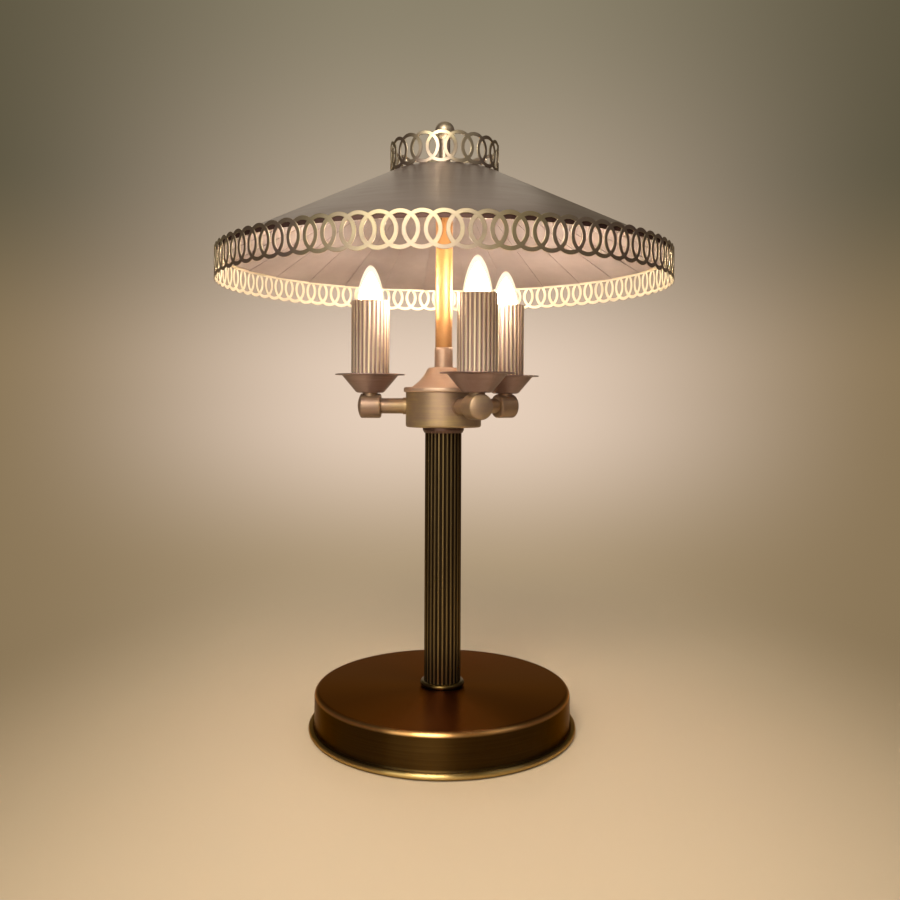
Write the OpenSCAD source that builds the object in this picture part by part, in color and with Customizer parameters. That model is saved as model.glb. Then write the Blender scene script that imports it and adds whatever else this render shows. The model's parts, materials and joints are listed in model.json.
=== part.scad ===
// Table lamp with three candle lights under a conical shade trimmed with interlocking rings.
// Millimetres, Z up, origin on the table under the middle of the base. The viewer stands at -Y.

/* [Base] */
// Outer diameter of the drum wall
base_d = 270; // [240:1:300]
// Height of the drum's flat top above the table
base_h = 43; // [36:0.2:60]
// Thickness of the spun sheet
base_sheet = 1.4; // [1:0.1:2]
// Outer radius of the drum's rounded top edge
base_edge_r = 5.5; // [2.5:0.1:8]
// Thickness of the rolled bead round the foot
bead_d = 6.8; // [6:0.1:10]
// Gap between the bead and the table
bead_lift = 0.6; // [0.4:0.1:1.5]
// Thickness of the felt that the lamp stands on
felt_t = 2; // [1.5:0.1:3]
// How far the felt stays inside the drum wall
felt_inset = 3; // [1:0.5:10]
// Thickness of the cover plate that closes the base
cover_t = 1.2; // [0.8:0.1:2]
// Diameter of the cast iron weight
weight_d = 210; // [150:1:230]
// Thickness of the cast iron weight
weight_t = 9; // [4:0.5:11]
// Height of the cord bushing's middle above the table
cord_z = 18; // [17:0.5:20]
// Bore radius of the cord bushing
cord_r = 3.6; // [2.5:0.1:4]
// Wall of the cord bushing
bushing_wall = 1.6; // [1:0.1:2]
// How far the bushing's flange stands out from its barrel
bushing_lip = 2; // [1:0.1:2.2]
// Thickness of the bushing's flange
bushing_lip_t = 2.2; // [1:0.1:3]
// Length of the bushing inside the drum wall
bushing_inside = 7; // [5:0.5:12]

/* [Tie rod] */
// Diameter of the threaded tie rod
rod_thread_d = 10; // [8:0.1:11]
// Bore of the tie rod
rod_thread_bore = 6.8; // [4:0.1:7.4]
// Diameter of the turned pin at the top of the tie rod
pin_d = 6; // [4:0.1:7]
// How far the pin reaches into the finial
pin_grip = 18; // [8:0.5:22]
// Width across the flats of the tie rod's nuts
nut_af = 17; // [15:0.1:19]
// Thickness of the tie rod's nuts
nut_t = 6; // [4:0.1:7]
// Diameter of the washer under the weight
washer_d = 28; // [22:0.5:50]
// Thickness of the washer under the weight
washer_t = 2; // [1:0.1:3]
// How far the tie rod sticks out below its lowest nut
rod_tail = 2; // [1:0.5:5]

/* [Column and fluted tube] */
// Outer diameter of the column's fluted tube
tube_d = 39; // [38:0.1:41]
// Number of flutes round the tube
flute_n = 26; // [16:1:30]
// Depth of a flute
flute_depth = 0.8; // [0.3:0.05:0.9]
// Radius of a flute's round bottom
flute_r = 2; // [1.5:0.1:2.5]
// Wall left under the flutes
tube_wall = 0.6; // [0.4:0.05:0.8]
// Length of the column tube
column_l = 270.7; // [180:0.1:400]
// Diameter of the ring at the column's foot
foot_ring_d = 46.8; // [45:0.1:60]
// Height of the ring at the column's foot
foot_ring_h = 6; // [5:0.1:9]
// Thickness of metal under the column's foot
foot_seat = 2; // [1:0.1:3]
// Diameter of the collar at the column's top
collar_d = 44; // [43:0.1:56]
// Height of the collar at the column's top
collar_h = 6; // [4.5:0.1:9]
// Thickness of metal over the column's top
collar_seat = 2.4; // [1:0.1:3]

/* [Hub] */
// Outer diameter of the hub
hub_d = 80.5; // [74:0.5:90]
// Height of the hub body
hub_h = 37; // [35:0.5:50]
// Wall of the hub body
hub_wall = 2; // [1.5:0.1:3]
// Radius of the hub's rounded lower edge
hub_edge_r = 3; // [1:0.1:5]
// Diameter of the cap's flange
cap_d = 85; // [80:0.5:100]
// Height of the cap's flange
cap_flange_h = 5.5; // [4:0.1:8]
// Diameter of the bell where it leaves the flange
bell_d = 69; // [55:0.5:72]
// Diameter of the bell's flat top
bell_top_d = 33; // [26:0.5:44]
// Height of the bell above the flange
bell_h = 21; // [12:0.5:35]
// How far the bell's side bows inwards
bell_bow = 2.2; // [0.4:0.1:3]
// Wall of the bell
bell_wall = 2; // [1:0.1:3]
// Depth of the lip that centres the cap in the hub
cap_lip = 2.5; // [1:0.1:4]
// Outer diameter of the terminal ring in the hub
terminal_d = 44; // [36:0.5:50]
// Height of the terminal ring
terminal_h = 27; // [25:0.5:29]

/* [Shade rod] */
// Diameter of the smooth shade rod
shade_rod_d = 18; // [14:0.1:19]
// Length of the smooth shade rod
shade_rod_l = 179.5; // [140:0.5:260]
// Diameter of the coupling collar on the cap
coupling_d = 19.4; // [19.2:0.1:24]
// Height of the coupling collar
coupling_h = 21.5; // [10:0.5:40]
// Diameter of the finial ball
finial_d = 21; // [16:0.1:30]
// Diameter of the finial's neck
neck_d = 12; // [10:0.1:14]
// Length of the finial's neck up to the ball's middle
neck_l = 45.5; // [30:0.5:60]
// Diameter of the washer under the finial
finial_washer_d = 18; // [15:0.5:22]
// Thickness of the washer under the finial
finial_washer_t = 1; // [0.5:0.1:2]

/* [Arms] */
// Direction of the left arm, in degrees anticlockwise from the viewer's right
left_az = 180; // [165:1:195]
// Direction of the front arm, in degrees anticlockwise from the viewer's right
front_az = 295; // [285:1:310]
// Direction of the rear arm, in degrees anticlockwise from the viewer's right
rear_az = 29; // [15:1:45]
// Distance from the lamp's axis to each candle's axis
reach = 78.5; // [76:0.5:100]
// Height of the arms above the hub's underside
arm_rise = 22.5; // [20:0.5:23]
// Diameter of the arm tube
arm_d = 16.4; // [13:0.1:17]
// Bore of the arm tube
arm_bore = 6.4; // [5:0.1:7]
// Diameter of the threaded ends of the arm and of the candle nipple
nipple_d = 10; // [9:0.1:10.5]
// Length of the seat ring between hub and arm
seat_l = 3; // [2:0.1:4]
// How far the seat ring stands out from the arm tube
seat_proud = 0.8; // [0.3:0.1:2]
// Diameter of the knuckle
knuckle_d = 26.2; // [22:0.1:30]
// Length of the knuckle's straight part
knuckle_l = 21.5; // [18:0.5:24]
// How far the candle's axis lies from the knuckle's inner face
knuckle_back = 12; // [10.5:0.5:13]
// Height of the dome on the knuckle's outer end
dome_h = 3.6; // [3:0.1:6]
// Radius of the knuckle's rounded edges
knuckle_edge_r = 2.4; // [0.5:0.1:3]
// Height of the flat seat on the knuckle above its round side
knuckle_seat_h = 0.75; // [0.5:0.05:3]
// Diameter of that flat seat
knuckle_seat_d = 16; // [14:0.5:20]
// Width across the flats of the arms' lock nuts
lock_af = 14; // [13:0.1:15]
// Thickness of the arms' lock nuts
lock_t = 4; // [3:0.1:4.5]
// Diameter of the lead to each light
lead_d = 3.8; // [2:0.1:4.2]
// Radius of the lead's bend under the candle
lead_bend = 7; // [6:0.5:7.5]

/* [Candles] */
// Diameter over the pan's lip
pan_d = 74.5; // [66:0.5:90]
// Height of the pan
pan_h = 20; // [18:0.5:24]
// Sheet thickness of the pan
pan_sheet = 1; // [0.6:0.1:1.4]
// Radius of the pan's flat floor
pan_floor_r = 12; // [11.5:0.1:13.5]
// Slope of the pan's wall
pan_slope = 50; // [46:1:58]
// Radius of the bend between the pan's floor and wall
pan_bend_r = 5; // [2:0.1:5]
// Radius of the bend between the pan's wall and lip
pan_lip_r = 4; // [2:0.1:4]
// Outer diameter of the fluted candle sleeve
sleeve_d = 40.6; // [38:0.1:42]
// Length of the candle sleeve
sleeve_l = 89; // [80:0.5:110]
// Diameter of the lampholder
holder_d = 26; // [22:0.5:30]
// Height of the lampholder
holder_h = 54; // [52:0.5:64]
// Depth of the lampholder's threaded foot
holder_foot = 14; // [8:0.5:20]
// Diameter of the lampholder's foot, which stands on the pan's floor
holder_foot_d = 22; // [18:0.5:23]
// Wall of the screw shell
shell_t = 0.7; // [0.4:0.1:1]
// Diameter of the bulb's screw cap
screw_d = 13.8; // [12:0.1:15]
// Length of the bulb's screw cap, contact included
screw_l = 22; // [18:0.5:26]
// Widest diameter of the bulb
bulb_d = 32; // [26:0.5:34]
// Length of the bulb's glass above its widest place
bulb_tip_l = 54; // [40:0.5:70]
// Length of the bulb's glass below its widest place
bulb_neck_l = 25; // [18:0.5:32]
// Diameter of the bulb's neck
bulb_neck_d = 16.4; // [15.4:0.1:18]
// Thickness of the bulb's glass
glass_t = 0.8; // [0.5:0.1:1.2]

/* [Shade] */
// Diameter over the rim band
shade_d = 476; // [400:1:560]
// Diameter of the cone's open top
cone_top_d = 116; // [100:1:140]
// Height of the cone above its flange
cone_h = 89.5; // [70:0.5:130]
// Height of the upright flange round the cone's edge
flange_h = 4.2; // [3:0.1:8]
// Sheet thickness of the cone
cone_sheet = 1; // [0.6:0.1:1.5]
// Sheet thickness of the two ring bands
band_t = 1; // [0.6:0.1:1.5]
// Width of the metal in each ring
ring_w = 4.3; // [2.5:0.1:4.5]
// Diameter of a ring in the rim band
rim_ring_d = 33; // [28:0.1:36]
// Number of rings in the rim band, a multiple of the rings in one length of strip
rim_ring_n = 84; // [77:7:91]
// How far the rim band stands above the cone's flange
rim_above = 3.5; // [2:0.1:10]
// Diameter of a ring in the gallery
gallery_ring_d = 32.6; // [28:0.1:36]
// Number of rings in the gallery, a multiple of the rings in one length of strip
gallery_ring_n = 20; // [18:2:22]
// Turn of the gallery from the viewer's middle line
gallery_phase = -3.3; // [-9:0.1:9]
// Number of leaves in the lining, an odd number
leaf_n = 27; // [21:2:33]
// Sheet thickness of a leaf
leaf_t = 0.4; // [0.3:0.05:0.45]
// Tilt of each leaf about its own middle line, so that it laps the next
leaf_tilt = 2.2; // [2:0.1:2.8]
// How far a leaf reaches behind the next one at the rim
leaf_lap = 3; // [1:0.5:4]
// Gap between the lining's middle surface and the cone
leaf_gap = 3; // [2.8:0.1:4]
// How far the lining's lower edge stays inside the cone's edge
leaf_inset = 8; // [6:0.5:20]
// Width of the spider's ring
spider_ring_w = 6; // [4:0.5:10]
// Sheet thickness of the spider
spider_t = 1.6; // [1:0.1:2.4]
// Width of a spider arm
spider_arm_w = 8; // [5:0.5:12]
// Diameter of the spider's boss
boss_d = 24; // [20:0.5:30]
// Height of the spider's boss
boss_h = 5; // [3:0.1:8]

/* [Fits] */
// Radial running clearance of a turning piece on its pin
run_gap = 0.05; // [0.02:0.01:0.1]
// Clearance between the faces of two pieces that move on each other
face_gap = 0.1; // [0.05:0.01:0.3]
// Radial clearance of a fixed piece in its hole
fit_gap = 0.1; // [0.05:0.01:0.2]
// Clearance round pieces that slip or screw together loosely
slip_gap = 0.3; // [0.2:0.05:0.5]

/* [Hidden] */
SIDES = ["left", "front", "rear"];
CANDLE_PARTS = ["arm", "knuckle", "drip_pan", "lampholder", "sleeve", "bulb_glass", "bulb_cap"];
$fn = 96;

// Cutting tools run past the faces they open by this much
past = 1;
// Points on each quarter of a rounded outline
quarter = 8;
// Threaded ends and inserts stop short of the space they lead to by this much
short = 1;
// Depth of the finial's flange and of the hole beyond the pin's end
finial_step = 2;
// Rings in one length of the rim band's strip and of the gallery's strip
rim_strip = 7;
gallery_strip = 2;
arm_az = [left_az, front_az, rear_az];
brass = "#6b5330";
dark_brass = "#4a3a22";
bronze = "#7a5236";
mauve = "#8b7d73";
pale_brass = "#b59a62";
steel = "#8f9294";
porcelain = "#e6e1d6";
milk_glass = "#fff3da";

// Heights of the faces where one piece stands on the next
foot_z = base_h;
column_z = foot_z + foot_seat;
column_top_z = column_z + column_l;
hub_z = column_top_z + collar_seat;
hub_top_z = hub_z + hub_h;
cap_top_z = hub_top_z + cap_flange_h + bell_h;
shade_rod_z = cap_top_z + coupling_h;
rod_top_z = shade_rod_z + shade_rod_l;
boss_z = rod_top_z + face_gap;
boss_top_z = boss_z + boss_h;
finial_washer_z = boss_top_z + face_gap;
finial_z = finial_washer_z + finial_washer_t;
arm_z = hub_z + arm_rise;
pan_z = arm_z + knuckle_d / 2 + knuckle_seat_h;
holder_z = pan_z + pan_sheet;
holder_top_z = holder_z + holder_h;

// Radii shared by pieces that fit together
base_r = base_d / 2;
base_in_r = base_r - base_sheet;
rod_r = rod_thread_d / 2;
rod_hole_r = rod_r + fit_gap;
tube_r = tube_d / 2;
tube_seat_r = tube_r + fit_gap;
sleeve_r = sleeve_d / 2;
hub_r = hub_d / 2;
hub_in_r = hub_r - hub_wall;
nipple_r = nipple_d / 2;
nipple_hole_r = nipple_r + fit_gap;
screw_r = screw_d / 2;
shell_in_r = screw_r + slip_gap;
shell_out_r = shell_in_r + shell_t;
knuckle_in = reach - knuckle_back;

// The drip pan's wall, from the end of its lower bend to the start of its upper bend
pan_wall_r = pan_floor_r + pan_bend_r * sin(pan_slope);
pan_wall_z = pan_bend_r * (1 - cos(pan_slope));
pan_lip_z = pan_h - pan_sheet;
pan_wall_top_z = pan_lip_z - pan_lip_r * (1 - cos(pan_slope));
pan_wall_top_r = pan_wall_r + (pan_wall_top_z - pan_wall_z) / tan(pan_slope);
pan_lip_in_r = pan_wall_top_r + pan_lip_r * sin(pan_slope);
// Where the sleeve's foot meets the upper side of that wall
sleeve_z = pan_z + pan_wall_z + (sleeve_r - pan_wall_r) * tan(pan_slope)
  + pan_sheet / cos(pan_slope) + slip_gap;

// The bulb screws into the shell until its contact is just clear of the centre contact
screw_top_z = holder_top_z + slip_gap;
screw_z = screw_top_z - screw_l;
// Radius and thickness of the centre contacts
contact_r = 2.6;
contact_t = 1.5;
// Height and wall of the skirt that holds the glass
skirt_h = 4;
skirt_t = 0.5;
glass_z = screw_top_z + skirt_h / 2;
bulb_mid_z = glass_z + bulb_neck_l;
contact_z = screw_z - slip_gap - contact_t;
socket_z = contact_z - contact_t;

// The cone's sheet, its slope and the vertical thickness of the sheet
cone_top_r = cone_top_d / 2;
cone_rim_r = shade_d / 2 - band_t - fit_gap;
cone_slope = atan(cone_h / (cone_rim_r - cone_top_r));
cone_drop = cone_sheet / cos(cone_slope);
spider_z = boss_z + (boss_h - spider_t) / 2;
cone_top_z = spider_z + spider_t + face_gap;
cone_rim_z = cone_top_z - cone_h;

// The height of the cone's inner side at a distance from the axis
function cone_in_z(r) = cone_top_z - (r - cone_top_r) * tan(cone_slope) - cone_drop;
// The distance from the axis of the cone's inner side at a height
function cone_in_r(z) = cone_top_r + (cone_top_z - cone_drop - z) / tan(cone_slope);

// Points along an arc about a centre
function arc(c, r, from, to, n = quarter) =
  [for (i = [0:n]) let (a = from + (to - from) * i / n) [c[0] + r * cos(a), c[1] + r * sin(a)]];

// Share of a round end in the bulb's outline, the rest being a pointed one
round_share = 0.77;
// The bulb's radius at a share of the way from its tip to its widest place
function flame(u) = round_share * sqrt(1 - pow(1 - u, 2)) + (1 - round_share) * sin(90 * u);

module spin(points) {
  rotate_extrude()
    polygon(points);
}

module ring(r, bore, h) {
  difference() {
    cylinder(r = r, h = h);
    translate([0, 0, -past])
      cylinder(r = bore, h = h + 2 * past);
  }
}

module hex_nut(af, bore, t) {
  difference() {
    cylinder(r = af / sqrt(3), h = t, $fn = 6);
    translate([0, 0, -past])
      cylinder(r = bore, h = t + 2 * past);
  }
}

module fluted_tube(length, r) {
  linear_extrude(length)
    difference() {
      circle(r);
      circle(r - flute_depth - tube_wall);
      for (i = [0:flute_n - 1])
        rotate(360 * i / flute_n)
          translate([r + flute_r - flute_depth, 0])
            circle(flute_r);
    }
}

// Turns an arm's own frame, X outwards along the arm, to its direction
module on_arm(i) {
  rotate(arm_az[i])
    translate([0, 0, arm_z])
      children();
}

// Puts a piece that is drawn about Z on a candle's axis
module on_candle(i) {
  rotate(arm_az[i])
    translate([reach, 0, 0])
      children();
}

// Lays a piece that is drawn about Z along X
module along_x() {
  rotate([0, 90, 0])
    children();
}

/* Base */

module base_shell() {
  edge = base_edge_r;
  inner = edge - base_sheet;
  bead_r = bead_d / 2;
  bead_mid = [base_r - base_sheet / 2 + bead_r, bead_lift + bead_r];
  color(bronze)
    difference() {
      union() {
        spin(concat(
          [[rod_hole_r, base_h - base_sheet], [rod_hole_r, base_h]],
          arc([base_r - edge, base_h - edge], edge, 90, 0),
          [[base_r, felt_t], [base_in_r, felt_t]],
          arc([base_in_r - inner, base_h - base_sheet - inner], inner, 0, 90)
        ));
        rotate_extrude()
          translate(bead_mid)
            circle(bead_r);
      }
      translate([0, base_r + past, cord_z])
        rotate([90, 0, 0])
          cylinder(r = cord_r + bushing_wall + fit_gap, h = 2 * (base_sheet + past));
    }
}

module base_weight() {
  color(dark_brass)
    translate([0, 0, weight_z()])
      ring(weight_d / 2, rod_hole_r, weight_t);
}

function weight_z() = base_h - base_sheet - weight_t;
function washer_z() = weight_z() - washer_t;
function base_nut_z() = washer_z() - nut_t;

module base_washer() {
  color(steel)
    translate([0, 0, washer_z()])
      ring(washer_d / 2, rod_hole_r, washer_t);
}

module base_nut() {
  color(steel)
    translate([0, 0, base_nut_z()])
      hex_nut(nut_af, rod_hole_r, nut_t);
}

module base_cover() {
  color(dark_brass)
    translate([0, 0, felt_t])
      cylinder(r = base_in_r - fit_gap, h = cover_t);
}

module felt_pad() {
  color("#2d2a26")
    cylinder(r = base_in_r - felt_inset, h = felt_t);
}

// Barrel through the drum's rear wall, a flange outside and a snap ridge inside
module cord_bushing() {
  barrel = cord_r + bushing_wall;
  color("#1c1b1a")
    translate([0, base_r + fit_gap, cord_z])
      rotate([-90, 0, 0])
        difference() {
          union() {
            cylinder(r = barrel + bushing_lip, h = bushing_lip_t);
            translate([0, 0, -bushing_inside])
              cylinder(r = barrel, h = bushing_inside);
            translate([0, 0, -bushing_inside])
              cylinder(r1 = barrel, r2 = barrel + bushing_lip / 2, h = bushing_inside - 2 * base_sheet);
          }
          translate([0, 0, -bushing_inside - past])
            cylinder(r = cord_r, h = bushing_inside + bushing_lip_t + 2 * past);
        }
}

/* Column */

// Hollow rod with a turned pin on top, and a window in the hub where the wires come out
module tie_rod() {
  bottom = base_nut_z() - rod_tail;
  window_w = rod_thread_bore * 0.7;
  window_h = terminal_h - nut_t;
  color(steel)
    difference() {
      union() {
        translate([0, 0, bottom])
          cylinder(r = rod_r, h = rod_top_z - bottom);
        translate([0, 0, rod_top_z - past])
          cylinder(r = pin_d / 2, h = past + finial_z - rod_top_z + pin_grip);
      }
      translate([0, 0, bottom - past])
        cylinder(r = rod_thread_bore / 2, h = past + hub_top_z - bottom);
      translate([-rod_r - past, -window_w / 2, hub_z + hub_wall + nut_t])
        cube([2 * rod_r + 2 * past, window_w, window_h]);
    }
}

module foot_ring() {
  bead = foot_ring_h / 2;
  outer = foot_ring_d / 2;
  color(brass)
    translate([0, 0, foot_z])
      spin(concat(
        [[rod_hole_r, 0]],
        arc([outer - bead, bead], bead, -90, 90),
        [[tube_seat_r, foot_ring_h], [tube_seat_r, foot_seat], [rod_hole_r, foot_seat]]
      ));
}

module column_tube() {
  color(dark_brass)
    translate([0, 0, column_z])
      fluted_tube(column_l, tube_r);
}

module column_collar() {
  outer = collar_d / 2;
  thin = tube_seat_r + (outer - tube_seat_r) / 3;
  color(brass)
    translate([0, 0, hub_z - collar_h])
      spin([
        [tube_seat_r, 0],
        [thin, 0],
        [outer, collar_h / 2],
        [outer, collar_h],
        [rod_hole_r, collar_h],
        [rod_hole_r, collar_h - collar_seat],
        [tube_seat_r, collar_h - collar_seat]
      ]);
}

/* Hub */

module hub_body() {
  edge = hub_edge_r;
  color(brass)
    difference() {
      translate([0, 0, hub_z])
        spin(concat(
          [[rod_hole_r, 0]],
          arc([hub_r - edge, edge], edge, -90, 0),
          [[hub_r, hub_h], [hub_in_r, hub_h], [hub_in_r, hub_wall], [rod_hole_r, hub_wall]]
        ));
      for (i = [0:2])
        on_arm(i)
          translate([hub_in_r - hub_wall, 0, 0])
            along_x()
              cylinder(r = nipple_hole_r, h = 3 * hub_wall);
    }
}

module hub_nut() {
  color(steel)
    translate([0, 0, hub_z + hub_wall])
      hex_nut(nut_af, rod_hole_r, nut_t);
}

// Round block of terminals on the hub's floor, clear of the nut
module terminal_ring() {
  color(porcelain)
    translate([0, 0, hub_z + hub_wall])
      ring(terminal_d / 2, nut_af / sqrt(3) + slip_gap, terminal_h);
}

// Flange with a centring lip below and a bell with a bowed side above
module hub_cap() {
  flange_r = cap_d / 2;
  soft = cap_flange_h / 3;
  foot = [bell_d / 2, cap_flange_h];
  top = [bell_top_d / 2, cap_flange_h + bell_h];
  side = top - foot;
  normal = [side[1], -side[0]] / norm(side);
  bell = [for (i = [0:quarter])
    let (u = i / quarter) foot + side * u - normal * bell_bow * sin(180 * u)];
  lip_r = hub_in_r - fit_gap;
  lip_in_r = lip_r - bell_wall;
  cavity = [for (i = [quarter:-1:0])
    let (u = i / quarter, p = foot + side * u - normal * bell_bow * sin(180 * u))
      [min(p[0], lip_in_r + bell_wall) - bell_wall, p[1] - bell_wall]];
  color(bronze)
    translate([0, 0, hub_top_z])
      spin(concat(
        [[rod_hole_r, top[1]], [rod_hole_r, top[1] - bell_wall]],
        cavity,
        [[lip_in_r, cap_flange_h - 1.5 * bell_wall], [lip_in_r, -cap_lip], [lip_r, -cap_lip], [lip_r, 0]],
        arc([flange_r - soft, soft], soft, -90, 0),
        arc([flange_r - soft, cap_flange_h - soft], soft, 0, 90),
        bell
      ));
}

module rod_coupling() {
  groove = coupling_d / 40;
  outer = coupling_d / 2;
  color(brass)
    translate([0, 0, cap_top_z])
      spin([
        [rod_hole_r, 0],
        [outer, 0],
        [outer, coupling_h - 4 * groove],
        [outer - groove, coupling_h - 3 * groove],
        [outer, coupling_h - 2 * groove],
        [outer - groove, coupling_h],
        [rod_hole_r, coupling_h]
      ]);
}

module shade_rod() {
  color(bronze)
    translate([0, 0, shade_rod_z])
      ring(shade_rod_d / 2, rod_hole_r, shade_rod_l);
}

/* Arms */

// Rings that are hollowed to sit on the hub's round side
module arm_seats() {
  ring_r = arm_d / 2 + seat_proud;
  color(dark_brass)
    for (i = [0:2])
      difference() {
        on_arm(i)
          translate([hub_r - hub_wall, 0, 0])
            along_x()
              ring(ring_r, nipple_hole_r, hub_wall + seat_l);
        cylinder(r = hub_r + face_gap / 2, h = hub_top_z);
      }
}

// Tube with a threaded end through the hub's wall and another in the knuckle
module arm() {
  root = hub_r + seat_l;
  lock_in = lock_face() - lock_t - short;
  tip = reach - nipple_hole_r - short;
  color(brass)
    translate([0, 0, arm_z])
      along_x()
        spin([
          [arm_bore / 2, lock_in],
          [nipple_r, lock_in],
          [nipple_r, root],
          [arm_d / 2, root],
          [arm_d / 2, knuckle_in],
          [nipple_r, knuckle_in],
          [nipple_r, tip],
          [arm_bore / 2, tip]
        ]);
}

// Where a lock nut's corners meet the inside of the hub's round wall
function lock_face() = sqrt(pow(hub_in_r, 2) - pow(lock_af / sqrt(3), 2)) - fit_gap;

module arm_lock_nuts() {
  color(steel)
    for (i = [0:2])
      on_arm(i)
        translate([lock_face() - lock_t, 0, 0])
          along_x()
            hex_nut(lock_af, nipple_hole_r, lock_t);
}

// Each lead runs from the terminal ring along its arm and bends up into the candle
module arm_leads() {
  start = terminal_d / 2;
  bend_x = reach - lead_bend;
  rise = holder_z + holder_foot - arm_z - lead_bend;
  color("#d8d2c4")
    for (i = [0:2])
      on_arm(i) {
        translate([start, 0, 0])
          along_x()
            cylinder(d = lead_d, h = bend_x - start);
        translate([bend_x, 0, lead_bend])
          rotate([-90, 0, 0])
            rotate_extrude(angle = 90)
              translate([lead_bend, 0])
                circle(d = lead_d);
        translate([reach, 0, lead_bend])
          cylinder(d = lead_d, h = rise);
      }
}

// Domed cylinder across the candle's foot, bored for the arm and for the nipple
module knuckle() {
  r = knuckle_d / 2;
  edge = knuckle_edge_r;
  ball = (r * r + dome_h * dome_h) / (2 * dome_h);
  ball_z = knuckle_l + dome_h - ball;
  edge_rise = sqrt(pow(ball - edge, 2) - pow(r - edge, 2));
  turn = atan(edge_rise / (r - edge));
  bore = nipple_hole_r;
  color(brass)
    difference() {
      union() {
        translate([knuckle_in, 0, arm_z])
          along_x()
            spin(concat(
              [[0, 0]],
              arc([r - edge, edge], edge, -90, 0),
              arc([r - edge, ball_z + edge_rise], edge, 0, turn),
              arc([0, ball_z], ball, turn, 90)
            ));
        translate([reach, 0, arm_z])
          cylinder(d = knuckle_seat_d, h = r + knuckle_seat_h);
      }
      translate([knuckle_in - past, 0, arm_z])
        along_x()
          cylinder(r = bore, h = past + knuckle_back + bore);
      translate([reach, 0, arm_z - bore / 2])
        cylinder(r = bore, h = r + knuckle_seat_h + bore);
    }
}

module candle_nipples() {
  bottom = arm_z + nipple_hole_r + short;
  color(steel)
    for (i = [0:2])
      on_candle(i)
        translate([0, 0, bottom])
          ring(nipple_r, arm_bore / 2, holder_z + holder_foot - short - bottom);
}

/* Candles */

// Pressed pan: flat floor, sloping wall and a flat lip, all in one sheet
module drip_pan() {
  t = pan_sheet;
  low = [pan_floor_r, pan_bend_r];
  high = [pan_lip_in_r, pan_lip_z - pan_lip_r];
  color(bronze)
    translate([reach, 0, pan_z])
      spin(concat(
        [[nipple_hole_r, t], [nipple_hole_r, 0]],
        arc(low, pan_bend_r, -90, pan_slope - 90),
        arc(high, pan_lip_r, 90 + pan_slope, 90),
        [[pan_d / 2, pan_lip_z], [pan_d / 2, pan_lip_z + t]],
        arc(high, pan_lip_r + t, 90, 90 + pan_slope),
        arc(low, pan_bend_r - t, pan_slope - 90, -90)
      ));
}

// Moulded holder: foot on the pan's floor, barrel, and a socket open at the top
module lampholder() {
  socket_r = shell_out_r + fit_gap;
  barrel = holder_d / 2;
  foot = holder_foot_d / 2;
  color("#efe9db")
    translate([reach, 0, 0])
      spin([
        [nipple_hole_r, holder_z],
        [foot, holder_z],
        [foot, holder_z + holder_foot],
        [barrel, holder_z + holder_foot + barrel - foot],
        [barrel, holder_top_z - short],
        [barrel - short, holder_top_z],
        [socket_r, holder_top_z],
        [socket_r, socket_z],
        [0, socket_z],
        [0, holder_z + holder_foot],
        [nipple_hole_r, holder_z + holder_foot]
      ]);
}

module screw_shells() {
  color(pale_brass)
    for (i = [0:2])
      on_candle(i)
        translate([0, 0, socket_z])
          ring(shell_out_r, shell_in_r, holder_top_z - socket_z - short);
}

module centre_contacts() {
  color(pale_brass)
    for (i = [0:2])
      on_candle(i)
        translate([0, 0, socket_z])
          cylinder(r = contact_r, h = contact_z + contact_t - socket_z);
}

module sleeve() {
  color(mauve)
    translate([reach, 0, sleeve_z])
      fluted_tube(sleeve_l, sleeve_r);
}

// Candle-shaped glass, open at the neck
module bulb_glass() {
  neck = bulb_neck_d / 2;
  wide = bulb_d / 2;
  tip_z = bulb_mid_z + bulb_tip_l;
  steps = 4 * quarter;
  outer = concat(
    [for (i = [0:quarter])
      let (v = i / quarter)
        [neck + (wide - neck) * (1 - cos(180 * v)) / 2, glass_z + bulb_neck_l * v]],
    [for (i = [steps - 1:-1:0])
      let (u = pow(i / steps, 2)) [wide * flame(u), tip_z - bulb_tip_l * u]]
  );
  inner = [for (p = outer)
    if (p[0] > 2 * glass_t) [p[0] - glass_t, min(p[1], tip_z - 3 * glass_t)]];
  color(milk_glass)
    translate([reach, 0, 0])
      spin(concat(
        outer,
        [[0, tip_z - 3 * glass_t]],
        [for (i = [len(inner) - 1:-1:0]) inner[i]]
      ));
}

// Screw cap: contact, insulating cone, thread and a skirt that holds the glass
module bulb_cap() {
  neck = bulb_neck_d / 2 + fit_gap;
  skirt = neck + skirt_t;
  cone_top = screw_z + screw_r - contact_r;
  color("#c9ccd0")
    translate([reach, 0, 0])
      spin([
        [0, screw_z],
        [contact_r, screw_z],
        [screw_r, cone_top],
        [screw_r, screw_top_z - skirt_t],
        [skirt, screw_top_z + (skirt - screw_r) / 2],
        [skirt, screw_top_z + skirt_h],
        [neck, screw_top_z + skirt_h],
        [neck, glass_z],
        [0, glass_z]
      ]);
}

/* Shade */

// Spun cone, open at the top, with an upright flange that the rim band is soldered to
module shade_cone() {
  flat = cone_drop / tan(cone_slope);
  flange_r = cone_rim_r - cone_sheet;
  color(mauve)
    spin([
      [cone_top_r, cone_top_z],
      [cone_rim_r, cone_rim_z],
      [cone_rim_r, cone_rim_z - flange_h],
      [flange_r, cone_rim_z - flange_h],
      [flange_r, cone_in_z(flange_r)],
      [cone_top_r - flat, cone_top_z]
    ]);
}

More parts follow.
